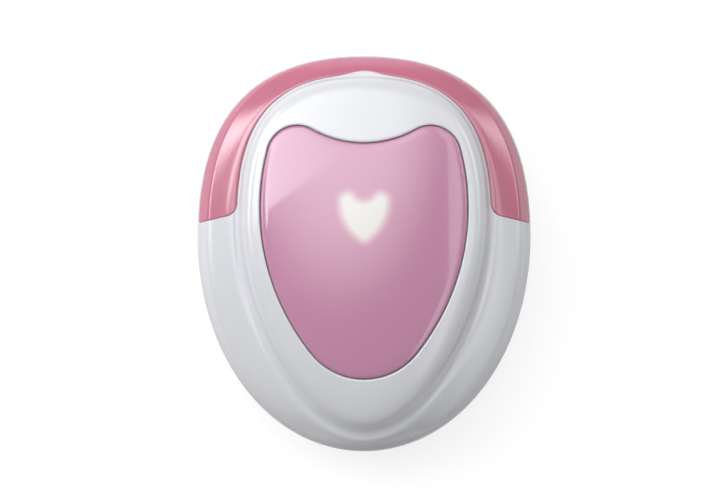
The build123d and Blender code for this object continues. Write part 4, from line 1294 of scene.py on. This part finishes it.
@dataclass
class FlutedWheel(GrownPiece):
    """The volume wheel: a bored disc whose rim is fluted for the thumb and eased at both faces."""

    lengths: ClassVar = ("radius", "thickness", "flute_depth", "easing", "bore")
    radius: float = 9.5
    thickness: float = 3.0
    flutes: float = 30.0
    flute_depth: float = 0.32
    flute_power: float = 3.0
    easing: float = 0.35
    easing_power: float = 8.0
    bore: float = 1.62
    rim_points: int = 480
    rim_rings: int = 12
    bore_points: int = 48
    bore_run: float = 3.0  # the boring tool's length as a share of the thickness

    def sizes(self) -> dict[str, Size]:
        """Add the number of flutes to the lengths."""
        return super().sizes() | {"flutes": self.flutes}

    def one(self, tree: Tree, given: Outputs) -> Node:
        """Wire the disc, pull its flutes in, ease its edges and bore it.

        Args:
            tree: the tree.
            given: the outputs that hold the sizes.

        Returns:
            The node that bores it.
        """
        radius, thickness, flute_depth, easing, bore = (given[length] for length in self.lengths)
        grid = {"Vertices": self.rim_points, "Side Segments": self.rim_rings, "Fill Segments": 1}
        disc = add_node(tree, CYLINDER, grid | {"Radius": radius, "Depth": thickness})
        place = add_node(tree, SEPARATE, {0: add_node(tree, "GeometryNodeInputPosition")}).outputs
        eased = place[2]
        to_edge = (("ABSOLUTE",), ("DIVIDE", thickness), ("MULTIPLY", 2.0))
        fall = (("POWER", self.easing_power), ("MULTIPLY", easing))
        for operation, *by in to_edge + fall:
            eased = add_node(tree, MATH, dict(enumerate([eased, *by])), operation=operation)
        pulled = add_node(tree, MATH, {0: place[1], 1: place[0]}, operation="ARCTAN2")
        wave = (("MULTIPLY", given["flutes"]), ("COSINE",), ("MULTIPLY_ADD", 0.5, 0.5))
        flute = (("POWER", self.flute_power), ("MULTIPLY", flute_depth))
        inwards = (("ADD", eased), ("DIVIDE", radius), ("MULTIPLY", -1.0))
        for operation, *by in wave + flute + inwards:
            pulled = add_node(tree, MATH, dict(enumerate([pulled, *by])), operation=operation)
        rim = self.spread_out(tree, disc, place, pulled)
        past = add_node(tree, MATH, {0: thickness, 1: self.bore_run}, operation="MULTIPLY")
        size = {"Vertices": self.bore_points, "Radius": bore, "Depth": past}
        return add_node(tree, BOOLEAN, {0: rim, 1: add_node(tree, CYLINDER, size)}, **CUTTING)


def grown_pieces() -> list[GrownPiece]:
    """List the pieces that repeat or follow a rule, at their places in millimetres.

    Returns:
        The screws of the housing, board, transducer and wheel, and the wheel.
    """
    housing = tuple((s * x, y, 11.0) for x, y in ((31.0, 27.5), (18.0, -41.0)) for s in (-1, 1))
    board = tuple((s * x, y, 20.2) for x, y in ((16.0, 41.5), (29.8, -17.0)) for s in (-1, 1))
    cover = ((0.0, 39.6, 9.8), (-22.17, 1.2, 9.8), (22.17, 1.2, 9.8))
    hub, rim = ((34.1, 4.6, 11.0),), ((34.1, 4.6, 12.5),)
    small = dict(pitch=0.8, thread=0.1, recess_width=0.5, recess_length=2.1, recess_depth=0.7)
    over = {"turn": math.pi}
    rows = (
        ("Housing_screws_steel", "case_screws", housing, (2.2, 1.7, 1.1, 14.0), over),
        ("Board_screws_steel", "pcb_screws", board, (1.9, 1.2, 0.85, 6.0), small),
        ("Transducer_screws_steel", "transducer_screws", cover, (1.7, 1.1, 0.8, 4.2), small),
        ("Wheel_screw_steel", "volume_wheel_screw", hub, (2.4, 1.1, 0.8, 3.0), small | over),
    )
    grown = []
    for name, node, at, sizes, others in rows:
        body = Body.WHEEL if at is hub else Body.CASE
        named = dict(zip(("head_radius", "head_height", "shank_radius", "length"), sizes))
        grown.append(PanHeadScrews(name, node, body, Slot.SCREW, at, **named, **others))
    grown.append(FlutedWheel("Volume_wheel_moulding", "volume_wheel", Body.WHEEL, Slot.WHEEL, rim))
    return grown


# ------------------------------------------------------------------ studio


def staged_sheet(
    name: str, material: str, half: tuple[float, float], faces_up: bool
) -> tuple[Thing, Tree]:
    """Make a flat sheet of the studio, with a material of its own.

    Args:
        name: the sheet's name.
        material: its material's name.
        half: half its length and half its width, in metres.
        faces_up: whether its front looks up, or else down.

    Returns:
        The sheet and its material's tree.
    """
    x, y = half
    corners = [(-x, -y, 0), (x, -y, 0), (x, y, 0), (-x, y, 0)]
    mesh = bpy.data.meshes.new(name)
    mesh.from_pydata(corners if faces_up else corners[::-1], [], [(0, 1, 2, 3)])
    sheet = bpy.data.objects.new(name, mesh)
    bpy.context.scene.collection.objects.link(sheet)
    made = bpy.data.materials.new(material)
    made.use_nodes = True
    mesh.materials.append(made)
    return sheet, made.node_tree


@dataclass(frozen=True)
class Panel:
    """A soft light that looks down, whose brightness changes evenly along its length.

    Its places and sizes are in metres. It is turned about the vertical by turn, and its first
    end then comes down by tilt, both in degrees. It fades out over the share soft of its length
    and width. A wide fill has shine off, so that gloss doesn't show it.
    """

    name: str
    at: tuple[float, float, float]
    size: tuple[float, float]
    glow: tuple[float, float]
    turn: float
    tilt: float = 0.0
    soft: float = 0.0
    shine: bool = True

    def hang(self) -> None:
        """Hang the light. The camera doesn't see it, and it is clear from behind."""
        x, y = (length / 2 for length in self.size)
        light, tree = staged_sheet(self.name, self.name, (x, y), faces_up=False)
        light.location = self.at
        light.rotation_euler = (0.0, math.radians(-self.tilt), math.radians(self.turn))
        light.visible_camera = False
        light.visible_glossy = self.shine
        tree.nodes.remove(tree.nodes["Principled BSDF"])
        here = add_node(tree, COORDINATES).outputs["Object"]
        place = add_node(tree, SEPARATE, {0: here}).outputs
        ends = {"From Min": -x, "From Max": x, "To Min": self.glow[0], "To Max": self.glow[1]}
        power = add_node(tree, MAP_RANGE, {"Value": place["X"]} | ends)
        for axis, reach in (("X", x), ("Y", y)) if self.soft > 0 else ():
            off = add_node(tree, MATH, {0: place[axis]}, operation="ABSOLUTE")
            span = {"From Min": reach * (1 - self.soft), "From Max": reach}
            fall = {"Value": off, "To Min": 1.0, "To Max": 0.0} | span
            fade = add_node(tree, MAP_RANGE, fall, interpolation_type="SMOOTHSTEP")
            power = add_node(tree, MATH, {0: power, 1: fade}, operation="MULTIPLY")
        behind = add_node(tree, "ShaderNodeNewGeometry").outputs["Backfacing"]
        glow = {"Color": linear("FFFFFF"), "Strength": power}
        emitter = add_node(tree, "ShaderNodeEmission", glow)
        clear = add_node(tree, "ShaderNodeBsdfTransparent")
        sides = add_node(tree, "ShaderNodeMixShader", {0: behind, 1: emitter, 2: clear})
        feed(tree, tree.nodes["Material Output"], {"Surface": sides})


@dataclass
class Studio:
    """A plain pale floor, soft lights from the upper left and a camera straight over the front."""

    lens: float = 500.0
    sensor: float = 36.0
    far_away: float = 20.0  # metres
    image_size: tuple[int, int] = (720, 504)
    object_width_px: float = 333.0
    object_width: float = 88.0
    object_at_px: tuple[float, float] = (364.0, 253.5)
    focus_height: float = 19.5
    floor_reach: float = 4.0  # metres
    floor_colour: str = "9C9C9C"
    floor_roughness: float = 0.9
    floor_glow: float = 0.78
    sky_toward: tuple[float, float, float] = (-0.10, 0.32, 1.0)
    sky_fall: tuple[float, float] = (0.88, 1.0)
    sky_strength: tuple[float, float] = (0.12, 2.6)
    # Each panel's place, its length and width, its glow at both ends, its turn and its tilt.
    panels: tuple[Panel, ...] = (
        Panel("softbox_top_left", (-0.265, 0.285, 0.70), (0.56, 0.36), (4.9, 2.0), 19.0),
        Panel("strip_right", (0.34, 0.05, 0.62), (0.80, 0.16), (1.4, 1.4), 90.0),
        Panel(
            "wall_upper_left", (-0.83, 0.53, 0.46), (0.8, 1.3), (2.8, 2.8), -33.0, 65.0, shine=False
        ),
        Panel("wall_right", (0.79, 0.63, 0.41), (0.7, 1.1), (1.3, 1.3), -141.0, 68.0, shine=False),
        Panel("streak_left", (-0.75, 0.30, 0.62), (0.36, 1.1), (6.0, 6.0), -22.0, 52.0, soft=0.9),
        Panel("streak_right", (0.76, 0.30, 0.60), (0.36, 1.0), (3.0, 3.0), -158.0, 52.0, soft=0.9),
    )

    def camera(self) -> None:
        """Hang the camera over the front so that the object fills its share of the image."""
        wide, high = self.image_size
        per_px = self.object_width / self.object_width_px
        distance = per_px * wide * self.lens / self.sensor
        x = (wide / 2 - self.object_at_px[0]) * per_px
        y = (self.object_at_px[1] - high / 2) * per_px
        data = bpy.data.cameras.new("camera")
        data.lens, data.sensor_width = self.lens, self.sensor
        data.clip_end = self.far_away
        camera = bpy.data.objects.new("camera", data)
        camera.location = Vector((x, y, self.focus_height + distance)) * MM
        bpy.context.scene.collection.objects.link(camera)
        bpy.context.scene.camera = camera

    def floor(self) -> None:
        """Lay the floor, white to the eye and in reflections, which keeps the object's shadow."""
        half = (self.floor_reach, self.floor_reach)
        _, tree = staged_sheet("studio_floor", "Pale_paper_sweep", half, faces_up=True)
        rays = add_node(tree, "ShaderNodeLightPath").outputs
        seen = rays["Is Camera Ray"]
        for ray in ("Is Glossy Ray", "Is Transmission Ray"):
            seen = add_node(tree, MATH, {0: seen, 1: rays[ray]}, operation="MAXIMUM")
        glow = add_node(tree, MATH, {0: seen, 1: self.floor_glow}, operation="MULTIPLY")
        paper = {
            "Base Color": linear(self.floor_colour),
            "Roughness": self.floor_roughness,
            "Specular IOR Level": 0.0,
            "Emission Color": linear("FFFFFF"),
            "Emission Strength": glow,
        }
        feed(tree, tree.nodes["Principled BSDF"], paper)

    def world(self) -> None:
        """Fill the room with soft light that is brighter overhead and to the upper left."""
        world = bpy.data.worlds.new("studio")
        bpy.context.scene.world = world
        world.use_nodes = True
        tree = world.node_tree
        place = add_node(tree, COORDINATES).outputs["Generated"]
        both = {0: place, 1: Vector(self.sky_toward).normalized()}
        lean = add_node(tree, "ShaderNodeVectorMath", both, operation="DOT_PRODUCT")
        (near, full), (low, high) = self.sky_fall, self.sky_strength
        span = {"From Min": near, "From Max": full, "To Min": low, "To Max": high}
        span["Value"] = lean.outputs["Value"]
        level = add_node(tree, MAP_RANGE, span, interpolation_type="SMOOTHSTEP")
        feed(tree, tree.nodes["Background"], {"Strength": level, "Color": linear("FFFFFF")})

    def build(self) -> None:
        """Set up the whole studio."""
        self.camera()
        self.floor()
        self.world()
        for panel in self.panels:
            panel.hang()
        bpy.context.scene.view_settings.view_transform = "Standard"


# ------------------------------------------------------------------ the whole


def dress_nodes() -> None:
    """Give every CAD node that still shows the finish of its slot."""
    for row in frame["record"]["subparts"]:
        dress(frame["nodes"][row["node"]], row["material_slot"])


def main() -> None:
    """Build the classes in order and report each piece."""
    logging.basicConfig(level=logging.INFO, format="%(name)s: %(message)s")
    form = FrontForm()
    # Half width, lobe top, notch, tip, lobe radius, flank radius and widest line.
    heart = Heart(27.2, 33.5, 28.9, -32.9, 7.9, 61.0, 12.0)
    light = Heart(8.2, 17.6, 15.4, 1.4, 3.8, 14.5, 13.9)
    Studio().build()
    dress_nodes()
    band = PinkBand(form)
    pieces = [band.build(), FrontHousing(form, heart).build(band)]
    pieces += [HeartPlate(form, heart, light).build(), *MouldedCopies().build()]
    pieces += [piece.build() for piece in grown_pieces()]
    for piece in pieces:
        LOG.info("%s: %d faces", piece.name, len(piece.data.polygons))


if __name__ == "__main__":
    main()
